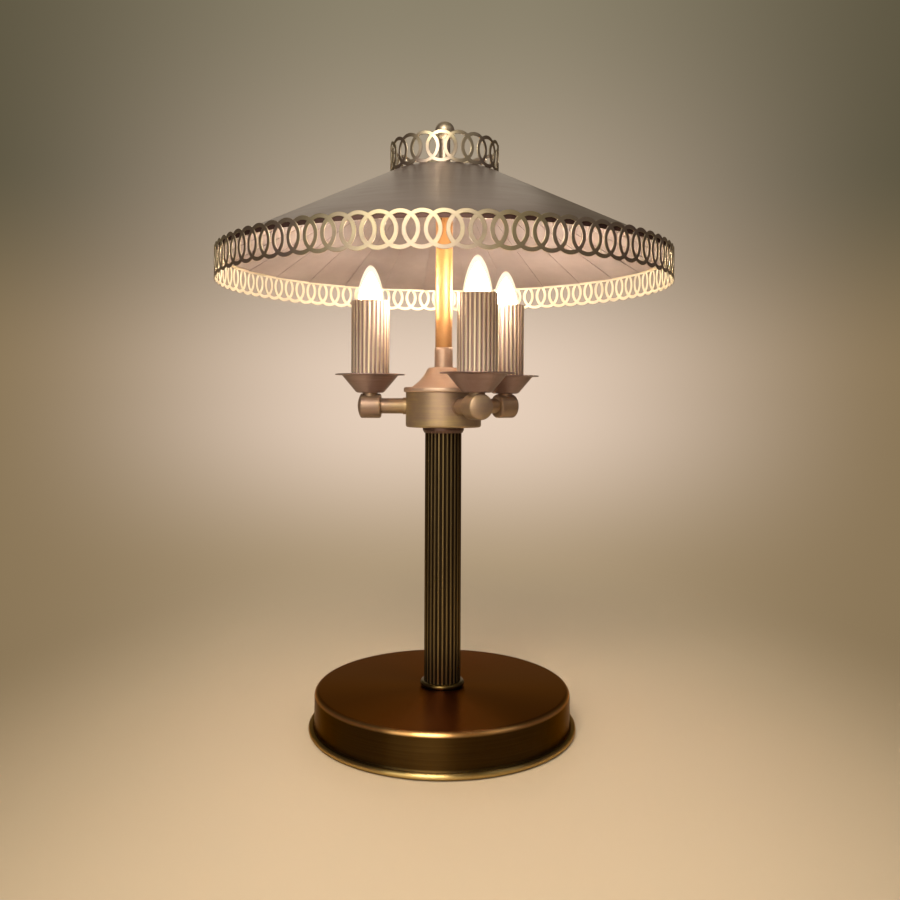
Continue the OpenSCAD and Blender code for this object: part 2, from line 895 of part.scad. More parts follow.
// One flat leaf of the lining, in its own frame: X down the slope, Y along the rim
module leaf(side) {
  top_r = cone_top_r + spider_ring_w / 2;
  rim_r = cone_rim_r - leaf_inset;
  length = (rim_r - top_r) / cos(cone_slope);
  seam = leaf_t / 3;
  half = tan(180 / leaf_n);
  near = [top_r * half - seam, rim_r * half - seam];
  lap = side == 0 ? 0 : leaf_lap + seam;
  deep = side == 0 ? leaf_gap + 2 * leaf_t : leaf_gap;
  translate([top_r, 0, cone_in_z(top_r) - deep / cos(cone_slope)])
    rotate([0, cone_slope, 0])
      rotate([-side * leaf_tilt, 0, 0])
        mirror([0, side < 0 ? 1 : 0, 0])
          translate([0, 0, -leaf_t / 2])
            linear_extrude(leaf_t)
              polygon([
                [0, -near[0] - lap * top_r / rim_r],
                [length, -near[1] - lap],
                [length, near[1]],
                [0, near[0]]
              ]);
}

// Leaves laid from the rear towards the front on both sides, each behind the one before
module shade_lining() {
  color(mauve)
    for (i = [-(leaf_n - 1) / 2:(leaf_n - 1) / 2])
      rotate(90 + 360 * i / leaf_n)
        leaf(sign(i));
}

// One length of strip, cut from a curved sheet as a row of overlapping rings, middle at +X
module ring_strip(radius, ring_d, ring_n, strip) {
  pitch = 360 / ring_n;
  span = strip * pitch;
  joint = fit_gap / radius * 180 / PI;
  deep = radius * (1 - cos(span / 2)) + 2 * band_t + past;
  mid_r = radius - band_t / 2;
  intersection() {
    rotate(-(span - joint) / 2)
      rotate_extrude(angle = span - joint)
        translate([radius - band_t, 0])
          square([band_t, ring_d]);
    translate([radius + past - deep, 0, ring_d / 2])
      rotate([90, 0, 90])
        linear_extrude(deep)
          for (i = [-1:strip])
            translate([mid_r * sin((i - (strip - 1) / 2) * pitch), 0])
              difference() {
                circle(d = ring_d);
                circle(d = ring_d - 2 * ring_w);
              }
  }
}

module ring_band(radius, ring_d, ring_n, strip) {
  lengths = ring_n / strip;
  for (i = [0:lengths - 1])
    rotate(360 * i / lengths)
      ring_strip(radius, ring_d, ring_n, strip);
}

module rim_band() {
  color(pale_brass)
    translate([0, 0, cone_rim_z + rim_above - rim_ring_d])
      rotate(-90)
        ring_band(shade_d / 2, rim_ring_d, rim_ring_n, rim_strip);
}

module gallery_band() {
  color(pale_brass)
    translate([0, 0, cone_top_z])
      rotate(-90 + gallery_phase + 180 / gallery_ring_n)
        ring_band(cone_top_r, gallery_ring_d, gallery_ring_n, gallery_strip);
}

// Ring under the cone's open top, three flat arms and a boss that sits on the rod
module shade_spider() {
  low = spider_z;
  high = spider_z + spider_t;
  ring_in = cone_top_r - spider_ring_w - cone_drop / tan(cone_slope);
  color(brass)
    difference() {
      union() {
        spin([
          [ring_in, low],
          [cone_in_r(low) - fit_gap, low],
          [cone_in_r(high) - fit_gap, high],
          [ring_in, high]
        ]);
        for (i = [0:2])
          rotate(90 + 120 * i)
            translate([pin_d, -spider_arm_w / 2, low])
              cube([ring_in + spider_ring_w / 4 - pin_d, spider_arm_w, spider_t]);
        translate([0, 0, boss_z])
          cylinder(d = boss_d, h = boss_h);
      }
      translate([0, 0, boss_z - past])
        cylinder(r = pin_d / 2 + run_gap, h = boss_h + 2 * past);
    }
}

module finial() {
  ball = finial_d / 2;
  neck = neck_d / 2;
  hole = pin_d / 2 + run_gap;
  ball_z = finial_z + neck_l;
  start = asin(neck / ball);
  color(pale_brass)
    spin(concat(
      [
        [hole, finial_z],
        [neck + finial_step / 2, finial_z],
        [neck + finial_step / 2, finial_z + finial_step],
        [neck, finial_z + finial_step * 3 / 2]
      ],
      arc([0, ball_z], ball, start - 90, 90, 3 * quarter),
      [[0, finial_z + pin_grip + finial_step], [hole, finial_z + pin_grip + finial_step]]
    ));
}

module finial_washer() {
  color(steel)
    translate([0, 0, finial_washer_z])
      ring(finial_washer_d / 2, pin_d / 2 + run_gap, finial_washer_t);
}

base_shell();
base_weight();
base_washer();
base_nut();
base_cover();
felt_pad();
cord_bushing();
tie_rod();
foot_ring();
column_tube();
column_collar();
hub_body();
hub_nut();
terminal_ring();
hub_cap();
rod_coupling();
shade_rod();
arm_seats();
arm_lock_nuts();
arm_leads();
candle_nipples();
screw_shells();
centre_contacts();
for (i = [0:2])
  rotate(arm_az[i]) {
    arm();
    knuckle();
    drip_pan();
    lampholder();
    sleeve();
    bulb_glass();
    bulb_cap();
  }
shade_cone();
shade_lining();
rim_band();
gallery_band();
shade_spider();
finial();
finial_washer();
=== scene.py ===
"""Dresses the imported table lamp: turned and spun brass, fluted tubes, ring bands, lit candle bulbs."""

import json
import math

import bmesh
import bpy
from bpy.props import FloatProperty, FloatVectorProperty, IntProperty, PointerProperty
from mathutils import Matrix, Vector


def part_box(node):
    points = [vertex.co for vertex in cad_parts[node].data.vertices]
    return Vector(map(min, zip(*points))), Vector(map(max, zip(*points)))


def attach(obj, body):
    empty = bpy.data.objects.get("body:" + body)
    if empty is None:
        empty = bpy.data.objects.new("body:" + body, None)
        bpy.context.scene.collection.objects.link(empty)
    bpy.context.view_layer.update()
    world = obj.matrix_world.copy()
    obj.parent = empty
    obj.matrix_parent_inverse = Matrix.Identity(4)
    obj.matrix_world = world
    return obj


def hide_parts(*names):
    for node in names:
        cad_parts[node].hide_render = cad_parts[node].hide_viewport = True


bl_info = {
    "name": "Three-light table lamp",
    "version": (1, 0, 0),
    "blender": (4, 5, 0),
    "location": "View3D > Sidebar > Lamp",
    "description": "Builds the visible pieces of a brass table lamp on its packed frame",
    "category": "Add Mesh",
}

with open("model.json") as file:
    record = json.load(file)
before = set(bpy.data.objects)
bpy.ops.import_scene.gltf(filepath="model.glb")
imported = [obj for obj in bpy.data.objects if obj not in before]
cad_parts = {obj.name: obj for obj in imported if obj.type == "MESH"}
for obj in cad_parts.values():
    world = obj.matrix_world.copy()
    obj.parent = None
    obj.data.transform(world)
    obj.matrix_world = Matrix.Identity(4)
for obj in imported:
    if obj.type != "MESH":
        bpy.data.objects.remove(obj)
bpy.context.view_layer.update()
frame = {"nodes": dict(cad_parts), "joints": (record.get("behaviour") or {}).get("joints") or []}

MM = 0.001
FIT = 0.1 * MM  # gap all round where one piece sits in another
WELD = 1e-6  # points closer than this become one
SHARP_EDGE = 32  # degrees
SIDES = ("left", "front", "rear")
ARM_TURN = {"left": 180.0, "front": 295.0, "rear": 29.0}  # degrees

# Camera, from the framing of the photograph
CAMERA_AT = (0, -0.925, 0.3471)
CAMERA_ROLL = -0.27  # degrees
IMAGE_PX, FOCAL_PX, AXIS_PX, HORIZON_PX = 900, 865, 443.5, 400
SENSOR = 36  # millimetres

# Backdrop, from the floor's edge upwards and outwards: a painted pool of light behind the lamp, painted shade
# above and to the sides, and a painted shadow of the shade
BACKDROP_LOW = "#B09A7C"
BACKDROP = "#E6CFBA"
BACKDROP_SHADE_SHADOW = "#A89682"
BACKDROP_TOP = "#8A816B"
BACKDROP_SIDES = "#8A7657"
BACKDROP_FLANKS = "#5B5440"
BACKDROP_ENDS = "#50403E"


def linear(code):
    """A colour socket's value from an sRGB hex code."""
    channels = [int(code[i:i + 2], 16) / 255 for i in (1, 3, 5)]
    return [c / 12.92 if c <= 0.04045 else ((c + 0.055) / 1.055) ** 2.4 for c in channels] + [1.0]


def tint(value):
    """A colour socket's value from a hex code or from a colour that a user has set."""
    return linear(value) if isinstance(value, str) else list(value)


def darker(tone, share):
    """A colour at a share of its strength."""
    return [c * share for c in tone[:3]] + [1.0]


def candle_axis(side):
    """The point where a candle's axis meets the table."""
    for joint in frame["joints"]:
        if joint["name"] == f"bulb_{side}_turn":
            return Vector((joint["pos_m"][0], joint["pos_m"][1], 0))
    raise RuntimeError(f"the frame has no joint for the {side} bulb")


def foot_of(node):
    """Height of a CAD node's lowest point."""
    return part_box(node)[0].z


# Sizes and colours that a user would change


def length(name, text, mm):
    return FloatProperty(name=name, description=text, default=mm * MM, min=0, unit="LENGTH", precision=4)


def colour(name, text, code):
    return FloatVectorProperty(name=name, description=text, default=linear(code), size=4, min=0, max=1,
                               subtype="COLOR")


class LampBaseSizes(bpy.types.PropertyGroup):
    """The spun drum that the lamp stands on."""
    radius: length("Drum radius", "Outside of the drum's wall", 135)
    edge: length("Top edge", "Radius of the drum's rounded top edge", 5.5)
    sheet: length("Sheet", "Thickness of the spun sheet", 1.4)
    bead: length("Bead", "Thickness of the rolled bead round the foot", 6.8)
    bead_lift: length("Bead lift", "Gap between the bead and the table", 0.6)
    hole: length("Rod hole", "Radius of the hole for the tie rod", 5.1)
    cord_hole: length("Cord hole", "Radius of the hole for the cord's bushing", 5.3)


class LampTubeSizes(bpy.types.PropertyGroup):
    """The fluted tube of the column and the candle sleeves."""
    column: length("Column radius", "Outside of the column", 19.5)
    sleeve: length("Sleeve radius", "Outside of a candle sleeve", 20.3)
    wall: length("Tube wall", "Wall left under the flutes", 0.6)
    depth: length("Flute depth", "Depth of a flute", 0.8)
    round: length("Flute radius", "Radius of a flute's round bottom", 2)
    flutes: IntProperty(name="Flutes", description="Flutes round the tube", default=26, min=8, max=60)


class LampShadeSizes(bpy.types.PropertyGroup):
    """The cone, its lining and its two bands of rings."""
    rim_rings: IntProperty(name="Rim rings", description="Rings in the rim band", default=84, min=12)
    top_rings: IntProperty(name="Gallery rings", description="Rings in the gallery", default=20, min=6)
    ring_width: length("Ring width", "Width of the metal in a ring", 3.7)
    strip: length("Strip", "Thickness of the stamped strip", 0.86)
    weave: length("Weave", "How far a ring rises over the next and dips under it", 0.03)
    top: length("Top radius", "Radius of the cone's open top", 58)
    rim: length("Rim radius", "Radius of the cone at its flange", 236.9)
    flange: length("Flange", "Height of the upright flange round the cone's edge", 4.2)
    sheet: length("Sheet", "Thickness of the cone's sheet", 1)
    leaves: IntProperty(name="Leaves", description="Leaves of the lining, an odd number", default=27, min=9)
    leaf_step: length("Leaf step", "How far a leaf's edge stands off the leaf behind it", 0.8)


class LampColours(bpy.types.PropertyGroup):
    """The finishes' main colours."""
    patina: colour("Patina", "Brown oxide in the brass's hollows", "#947A74")
    brass: colour("Brass", "Rubbed brass", "#C6AE76")
    # The copper tone is pale because it also carries painted bulb light
    copper: colour("Copper", "Copper lacquer over brass", "#EAD2BA")
    shade: colour("Shade", "Bronzed sheet outside the shade", "#6C5B54")
    lining: colour("Lining", "Bronzed leaves inside the shade", "#C0B4B2")
    rings: colour("Rings", "Rubbed brass of the ring bands", "#B6AA8C")
    glow: colour("Glow", "Light of the bulbs", "#FFF1E0")
    floor: colour("Floor", "Pale studio floor", "#E2CCAC")


# Meshes


def as_object(name, mesh, finish, slot, *nodes, body="stand"):
    """Links a finished mesh as a piece that stands for CAD nodes and moves with a body."""
    mesh.materials.clear()
    mesh.materials.append(finishes()[finish])
    mesh.shade_smooth()
    mesh.set_sharp_from_angle(angle=math.radians(SHARP_EDGE))
    piece = bpy.data.objects.new(name, mesh)
    bpy.context.scene.collection.objects.link(piece)
    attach(piece, body)
    if nodes:
        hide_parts(*nodes)
    return piece


def arc(centre, radius, start, end, steps=6):
    """Points of an outline along an arc, angles in degrees."""
    found = []
    for i in range(steps + 1):
        a = math.radians(start + (end - start) * i / steps)
        found.append((centre[0] + radius * math.cos(a), centre[1] + radius * math.sin(a)))
    return found


def eased(corners, steps=4):
    """An outline whose corners, given as (radius, height, easing), are rounded."""
    found = []
    count, most = len(corners), 0.49
    for i, (r, z, ease) in enumerate(corners):
        here = Vector((r, z))
        to_last = Vector(corners[i - 1][:2]) - here
        to_next = Vector(corners[(i + 1) % count][:2]) - here
        if ease <= 0 or to_last.length < WELD or to_next.length < WELD:
            found.append((r, z))
            continue
        half = to_last.angle(to_next) / 2
        back = min(ease / math.tan(half), to_last.length * most, to_next.length * most)
        start = here + to_last.normalized() * back
        end = here + to_next.normalized() * back
        for k in range(steps + 1):
            t = k / steps
            point = start * (1 - t) ** 2 + here * 2 * t * (1 - t) + end * t * t
            found.append((point.x, point.y))
    return found


def turned(name, outline, place=Matrix.Identity(4), segments=128):
    """A mesh turned about Z from a closed outline of (radius, height), then put in its place."""
    area = sum(a[0] * b[1] - b[0] * a[1] for a, b in zip(outline, outline[1:] + outline[:1]))
    points = outline if area > 0 else outline[::-1]
    angles = [2 * math.pi * k / segments for k in range(segments)]
    shape = bmesh.new()
    rows = []
    for r, z in points:
        if r < WELD:
            rows.append([shape.verts.new((0, 0, z))] * segments)
        else:
            rows.append([shape.verts.new((r * math.cos(a), r * math.sin(a), z)) for a in angles])
    for low, high in zip(rows, rows[1:] + rows[:1]):
        for k in range(segments):
            m = (k + 1) % segments
            corners = []
            for vert in (low[k], low[m], high[m], high[k]):
                if vert not in corners:
                    corners.append(vert)
            if len(corners) > 2:
                shape.faces.new(corners)
    shape.transform(place)
    mesh = bpy.data.meshes.new(name)
    shape.to_mesh(mesh)
    shape.free()
    return mesh


def lathe(name, outline, finish, slot, *nodes, body="stand", place=Matrix.Identity(4), segments=128):
    """Turns an outline and links it as a piece."""
    return as_object(name, turned(name, outline, place, segments), finish, slot, *nodes, body=body)


def joined(name, *meshes):
    """One mesh in place of several."""
    shape = bmesh.new()
    for mesh in meshes:
        shape.from_mesh(mesh)
        bpy.data.meshes.remove(mesh)
    whole = bpy.data.meshes.new(name)
    shape.to_mesh(whole)
    shape.free()
    return whole


def bored(mesh, place, radius, depth):
    """The mesh with a round hole cut along the placed Z axis."""
    shape = bmesh.new()
    bmesh.ops.create_cone(shape, cap_ends=True, segments=48, radius1=radius, radius2=radius, depth=depth,
                          matrix=place)
    drill_mesh = bpy.data.meshes.new("drill")
    shape.to_mesh(drill_mesh)
    shape.free()
    drill = bpy.data.objects.new("drill", drill_mesh)
    work = bpy.data.objects.new("work", mesh)
    for item in (drill, work):
        bpy.context.scene.collection.objects.link(item)
    cut = work.modifiers.new("hole", "BOOLEAN")
    cut.operation = "DIFFERENCE"
    cut.solver = "EXACT"
    cut.object = drill
    graph = bpy.context.evaluated_depsgraph_get()
    made = bpy.data.meshes.new_from_object(work.evaluated_get(graph), depsgraph=graph)
    made.name = mesh.name
    for item in (drill, work):
        bpy.data.objects.remove(item)
    for spare in (drill_mesh, mesh):
        bpy.data.meshes.remove(spare)
    if not made.polygons:
        raise RuntimeError("the hole took the whole piece away")
    return made


def along_arm(side, height):
    """Places a piece that is turned about Z along an arm."""
    return (Matrix.Translation((0, 0, height)) @ Matrix.Rotation(math.radians(ARM_TURN[side]), 4, "Z")
            @ Matrix.Rotation(math.radians(90), 4, "Y"))


# Nodes

# Short names for the nodes used most, with their settings
KINDS = {name: ("ShaderNodeMath", {"operation": name}) for name in (
    "ADD", "SUBTRACT", "MULTIPLY", "DIVIDE", "MULTIPLY_ADD", "POWER", "SQRT", "MINIMUM", "MAXIMUM",
    "ABSOLUTE", "SIGN", "COMPARE", "LESS_THAN", "GREATER_THAN", "FRACT", "FLOOR", "ROUND", "SINE", "COSINE",
    "TANGENT")}
KINDS.update({
    "VECTOR": ("ShaderNodeVectorMath", {}),
    "SPLIT": ("ShaderNodeSeparateXYZ", {}),
    "COMBINE": ("ShaderNodeCombineXYZ", {}),
    "NOISE": ("ShaderNodeTexNoise", {}),
    "BLEND": ("ShaderNodeMix", {"data_type": "RGBA"}),
    "RANGE": ("ShaderNodeMapRange", {}),
    "EASE": ("ShaderNodeMapRange", {"interpolation_type": "SMOOTHSTEP"}),
})


def add(tree, kind, *values, out=None, **settings):
    """Adds one node with its settings and links. Returns its first output in use, or the one named.

    The values feed its inputs in use, in order. A dict in their place feeds inputs by name."""
    kind, preset = KINDS.get(kind, (kind, {}))
    made = tree.nodes.new(kind)
    for key, value in {**preset, **settings}.items():
        setattr(made, key, value)
    if values and isinstance(values[0], dict):
        fed = [(made.inputs[key], value) for key, value in values[0].items()]
    else:
        fed = zip([socket for socket in made.inputs if socket.enabled], values)
    for socket, value in fed:
        if isinstance(value, bpy.types.NodeSocket):
            tree.links.new(value, socket)
        else:
            socket.default_value = value
    if out:
        return made.outputs[out]
    return next((socket for socket in made.outputs if socket.enabled), None)


def node_tree(name, sizes):
    """An empty geometry tree and its inputs, which are the named sizes."""
    tree = bpy.data.node_groups.new(name, "GeometryNodeTree")
    kinds = {float: "NodeSocketFloat", int: "NodeSocketInt", tuple: "NodeSocketVector",
             bpy.types.Material: "NodeSocketMaterial"}
    for key, value in sizes.items():
        made = tree.interface.new_socket(name=key, in_out="INPUT", socket_type=kinds[type(value)])
        made.default_value = value
    tree.interface.new_socket(name="Geometry", in_out="OUTPUT", socket_type="NodeSocketGeometry")
    return tree, add(tree, "NodeGroupInput").node.outputs


def in_row(tree, piece, count, offset):
    """Copies of a piece, set off one after the other and made real."""
    row = add(tree, "GeometryNodeMeshLine", {"Count": count, "Offset": offset})
    row = add(tree, "GeometryNodeInstanceOnPoints", {"Points": row, "Instance": piece})
    return add(tree, "GeometryNodeRealizeInstances", {"Geometry": row})


def rolled(tree, radius, aside, height, turn):
    """The place at a radius, a step aside and a height, turned about Z."""
    place = add(tree, "COMBINE", radius, aside, height)
    return add(tree, "ShaderNodeVectorRotate", {"Vector": place, "Angle": turn}, rotation_type="Z_AXIS")


def formed(tree, grid, mark, value, place):
    """A grid bent to its shape and welded, with a value kept on its points for the material."""
    grid = add(tree, "GeometryNodeStoreNamedAttribute", {"Geometry": grid, "Name": mark, "Value": value},
               data_type="FLOAT", domain="POINT")
    grid = add(tree, "GeometryNodeSetPosition", {"Geometry": grid, "Position": place})
    return add(tree, "GeometryNodeMergeByDistance", {"Geometry": grid, "Distance": WELD})


def close_tree(tree, geometry, material):
    """Ends a tree with real geometry in its material."""
    real = add(tree, "GeometryNodeRealizeInstances", {"Geometry": geometry})
    done = add(tree, "GeometryNodeSetMaterial", {"Geometry": real, "Material": material})
    add(tree, "NodeGroupOutput", {"Geometry": done})
    return tree


def grown(name, tree, sizes):
    """The plain mesh that a geometry tree makes with these sizes."""
    holder = bpy.data.objects.new(name + "_source", bpy.data.meshes.new(name + "_source"))
    bpy.context.scene.collection.objects.link(holder)
    modifier = holder.modifiers.new(tree.name, "NODES")
    modifier.node_group = tree
    for item in tree.interface.items_tree:
        if item.in_out == "INPUT":
            modifier[item.identifier] = sizes[item.name]
    graph = bpy.context.evaluated_depsgraph_get()
    mesh = bpy.data.meshes.new_from_object(holder.evaluated_get(graph), depsgraph=graph)
    holder.modifiers.remove(modifier)
    spare = holder.data
    bpy.data.objects.remove(holder)
    bpy.data.meshes.remove(spare)
    mesh.name = name
    if not mesh.polygons:
        raise RuntimeError(f"the tree {tree.name} made no faces for {name}")
    return mesh


def fluted_tube_tree(sizes):
    """Tube wall rolled from a grid: X runs round the tube, Y round the wall's section."""
    tree, size = node_tree("Fluted tube", sizes)
    per_flute = 16
    columns = add(tree, "MULTIPLY_ADD", size["Flutes"], per_flute, 1)
    grid = add(tree, "GeometryNodeMeshGrid",
               {"Size X": 1, "Size Y": 4, "Vertices X": columns, "Vertices Y": 5})
    x, y, _ = add(tree, "SPLIT", add(tree, "GeometryNodeInputPosition")).node.outputs
    share = add(tree, "ADD", x, 0.5)
    turn = add(tree, "MULTIPLY_ADD", share, math.tau, size["Turn"])
    # Distance along the surface from the nearest flute's middle, and the flute's depth there
    pitch = add(tree, "DIVIDE", add(tree, "MULTIPLY", size["Radius"], math.tau), size["Flutes"])
    flute = add(tree, "MULTIPLY", share, size["Flutes"])
    flute = add(tree, "SUBTRACT", add(tree, "FRACT", flute), 0.5)
    aside = add(tree, "MULTIPLY", flute, pitch)
    squares = [add(tree, "POWER", side, 2) for side in (size["Flute radius"], aside)]
    left = add(tree, "MAXIMUM", add(tree, "SUBTRACT", *squares), 0)
    dip = add(tree, "SUBTRACT", add(tree, "SQRT", left), size["Flute radius"])
    dip = add(tree, "MAXIMUM", add(tree, "ADD", dip, size["Depth"]), 0)
    # Section: inner foot, outer foot, outer top, inner top and back
    outer, top = [add(tree, "COMPARE", y, middle, 0.75) for middle in (-0.5, 0.5)]
    wall = add(tree, "SUBTRACT", add(tree, "SUBTRACT", size["Radius"], size["Bore"]), dip)
    radius = add(tree, "MULTIPLY_ADD", wall, outer, size["Bore"])
    height = add(tree, "MULTIPLY", top, size["Length"])
    place = add(tree, "VECTOR", rolled(tree, radius, 0, height, turn), size["Foot"], operation="ADD")
    ridge = add(tree, "MULTIPLY", add(tree, "SUBTRACT", 1, add(tree, "DIVIDE", dip, size["Depth"])), outer)
    return close_tree(tree, formed(tree, grid, "ridge", ridge, place), size["Material"])


def ring_band_tree(sizes):
    """A row of woven rings, each with an eased flat section, wrapped round a cylinder."""
    tree, size = node_tree("Ring band", sizes)
    grid = add(tree, "GeometryNodeMeshGrid", {"Size X": 1, "Size Y": 1, "Vertices X": 45, "Vertices Y": 9})
    x, y, _ = add(tree, "SPLIT", add(tree, "GeometryNodeInputPosition")).node.outputs
    turn = add(tree, "MULTIPLY", x, math.tau)
    section = add(tree, "MULTIPLY_ADD", y, math.tau, math.pi / 8)
    # An eight-sided section: a flat strip with its corners taken off
    flat = []
    for wave, spread in (("COSINE", 2.25), ("SINE", 1.3)):
        swing = add(tree, "MULTIPLY", add(tree, wave, section), spread)
        flat.append(add(tree, "ShaderNodeClamp", swing, -1, 1))
    wide, thick = flat
    half_width, half_strip = [add(tree, "DIVIDE", size[key], 2) for key in ("Ring width", "Strip")]
    middle = add(tree, "SUBTRACT", size["Ring radius"], half_width)
    radius = add(tree, "MULTIPLY_ADD", wide, half_width, middle)
    # Each ring rises over its right neighbour at the top and dips under it at the bottom
    weave = add(tree, "MULTIPLY", add(tree, "SINE", add(tree, "MULTIPLY", turn, 2)), size["Weave"])
    proud = add(tree, "MULTIPLY_ADD", thick, half_strip, weave)
    # The inner side is marked for painted bulb light
    inner = add(tree, "MULTIPLY", add(tree, "LESS_THAN", thick, 0), size["Painted bulb light"])
    ring = formed(tree, grid, "inner", inner, rolled(tree, radius, 0, proud, turn))
    pitch = add(tree, "DIVIDE", add(tree, "MULTIPLY", size["Band radius"], math.tau), size["Rings"])
    row = in_row(tree, ring, size["Rings"], add(tree, "COMBINE", pitch))
    along, up, off = add(tree, "SPLIT", add(tree, "GeometryNodeInputPosition")).node.outputs
    angle = add(tree, "ADD", add(tree, "DIVIDE", along, size["Band radius"]), size["Turn"])
    radius = add(tree, "ADD", size["Band radius"], off)
    place = rolled(tree, radius, 0, add(tree, "ADD", up, size["Height"]), angle)
    row = add(tree, "GeometryNodeSetPosition", {"Geometry": row, "Position": place})
    return close_tree(tree, row, size["Material"])


def leaf_lining_tree(sizes):
    """Flat leaves inside a cone, laid from the rear to the front on both sides, each over the last."""
    tree, size = node_tree("Leaf lining", sizes)
    # In a row of blocks X tells the leaf and its long edge, Y its end and Z its face
    block = add(tree, "GeometryNodeMeshCube", {"Size": (0.5, 1, 1)})
    row = in_row(tree, block, size["Leaves"], (1, 0, 0))
    x, y, z = add(tree, "SPLIT", add(tree, "GeometryNodeInputPosition")).node.outputs
    number = add(tree, "ROUND", x)
    way = add(tree, "SIGN", add(tree, "SUBTRACT", x, number))
    # Steps from the rear leaf: one side is mirrored, and the rear leaf lies flat on both neighbours
    rear = add(tree, "FLOOR", add(tree, "DIVIDE", size["Leaves"], 2))
    step = add(tree, "SUBTRACT", number, rear)
    turn = add(tree, "MULTIPLY_ADD", add(tree, "DIVIDE", step, size["Leaves"]), math.tau, math.pi / 2)
    mirrored = add(tree, "LESS_THAN", step, 0)
    laid = add(tree, "MINIMUM", add(tree, "ABSOLUTE", step), 1)
    flat = add(tree, "SUBTRACT", 1, laid)
    # Down the cone, across the leaf and off the cone
    low_end, outer_face = [add(tree, "GREATER_THAN", side, 0) for side in (y, z)]
    run = add(tree, "MULTIPLY", add(tree, "SUBTRACT", size["Rim"], size["Top"]), low_end)
    radius = add(tree, "ADD", size["Top"], run)
    lap = add(tree, "DIVIDE", size["Lap"], size["Rim"])
    for share in (laid, add(tree, "LESS_THAN", way, 0)):
        lap = add(tree, "MULTIPLY", lap, share)
    across = add(tree, "MULTIPLY", way, size["Half width"])
    across = add(tree, "MULTIPLY", add(tree, "SUBTRACT", across, lap), radius)
    tilt = add(tree, "MULTIPLY", size["Tilt"], laid)
    off = size["Gap"]
    for share, most in ((across, tilt), (flat, size["Step"]), (outer_face, size["Thickness"])):
        off = add(tree, "MULTIPLY_ADD", share, most, off)
    sine, cosine, tangent = [add(tree, wave, size["Slope"]) for wave in ("SINE", "COSINE", "TANGENT")]
    out = add(tree, "SUBTRACT", radius, add(tree, "MULTIPLY", off, sine))
    down = add(tree, "MULTIPLY_ADD", run, tangent, add(tree, "MULTIPLY", off, cosine))
    aside = add(tree, "MULTIPLY", across, add(tree, "MULTIPLY_ADD", mirrored, -2, 1))
    place = rolled(tree, out, aside, add(tree, "SUBTRACT", size["Height"], down), turn)
    row = add(tree, "GeometryNodeFlipFaces", {"Mesh": row, "Selection": mirrored})
    row = add(tree, "GeometryNodeSetPosition", {"Geometry": row, "Position": place})
    return close_tree(tree, row, size["Material"])


# Materials


def surface(name):
    """A new material, its empty tree and the object coordinates that its nodes start from."""
    material = bpy.data.materials.new(name)
    material.use_nodes = True
    tree = material.node_tree
    tree.nodes.clear()
    return material, tree, add(tree, "ShaderNodeTexCoord", out="Object")


def coat(tree, sockets):
    """Ends a material's tree with its shader, and returns the shader."""
    shader = add(tree, "ShaderNodeBsdfPrincipled", sockets)
    add(tree, "ShaderNodeOutputMaterial", shader)
    return shader


def per_mm(size):
    """Texture scale for a feature of this many millimetres, in object metres."""
    return 1 / (size * MM)


def streaks(tree, where, level_mm, upright_mm, detail, rough):
    """Tool marks, longer one way than the other. They are coarser than real ones, so that they show."""
    scale = (per_mm(level_mm), per_mm(level_mm), per_mm(upright_mm))
    drawn = add(tree, "ShaderNodeMapping", {"Vector": where, "Scale": scale})
    return add(tree, "NOISE", {"Vector": drawn, "Scale": 1, "Detail": detail, "Roughness": rough})


def worn_metal(name, low, high, rough, cloud_mm, line_mm, metallic=1.0, bump=0.06, glance="#FFFFFF",
               shaded_heights=None):
    """Lacquered metal: clouds of oxide over rubbed metal, and lathe lines across its height.

    Given a start and an end height, painted shade darkens it between them."""
    material, tree, where = surface(name)
    low, high = tint(low), tint(high)
    clouds = add(tree, "NOISE", {"Vector": where, "Scale": per_mm(cloud_mm), "Detail": 5, "Roughness": 0.62})
    lines = streaks(tree, where, 60, line_mm, 3, 0.7)
    wear = add(tree, "MULTIPLY", add(tree, "RANGE", clouds, 0.36, 0.66), lines)
    wear = add(tree, "MULTIPLY", wear, 1.5, use_clamp=True)
    paint = add(tree, "BLEND", wear, low, high)
    if shaded_heights:
        # Painted shade, darkening from the start height to the end height
        painted_shade = add(tree, "EASE", add(tree, "SPLIT", where, out="Z"), *shaded_heights, 0, 0.6)
        paint = add(tree, "BLEND", painted_shade, paint, darker(low, 0.35))
    relief = add(tree, "ShaderNodeBump", {"Strength": bump, "Distance": 0.3 * MM, "Height": lines})
    coat(tree, {"Base Color": paint, "Metallic": metallic, "Specular Tint": linear(glance), "Normal": relief,
                "Roughness": add(tree, "RANGE", lines, 0, 1, rough - 0.06, rough + 0.08)})
    return material


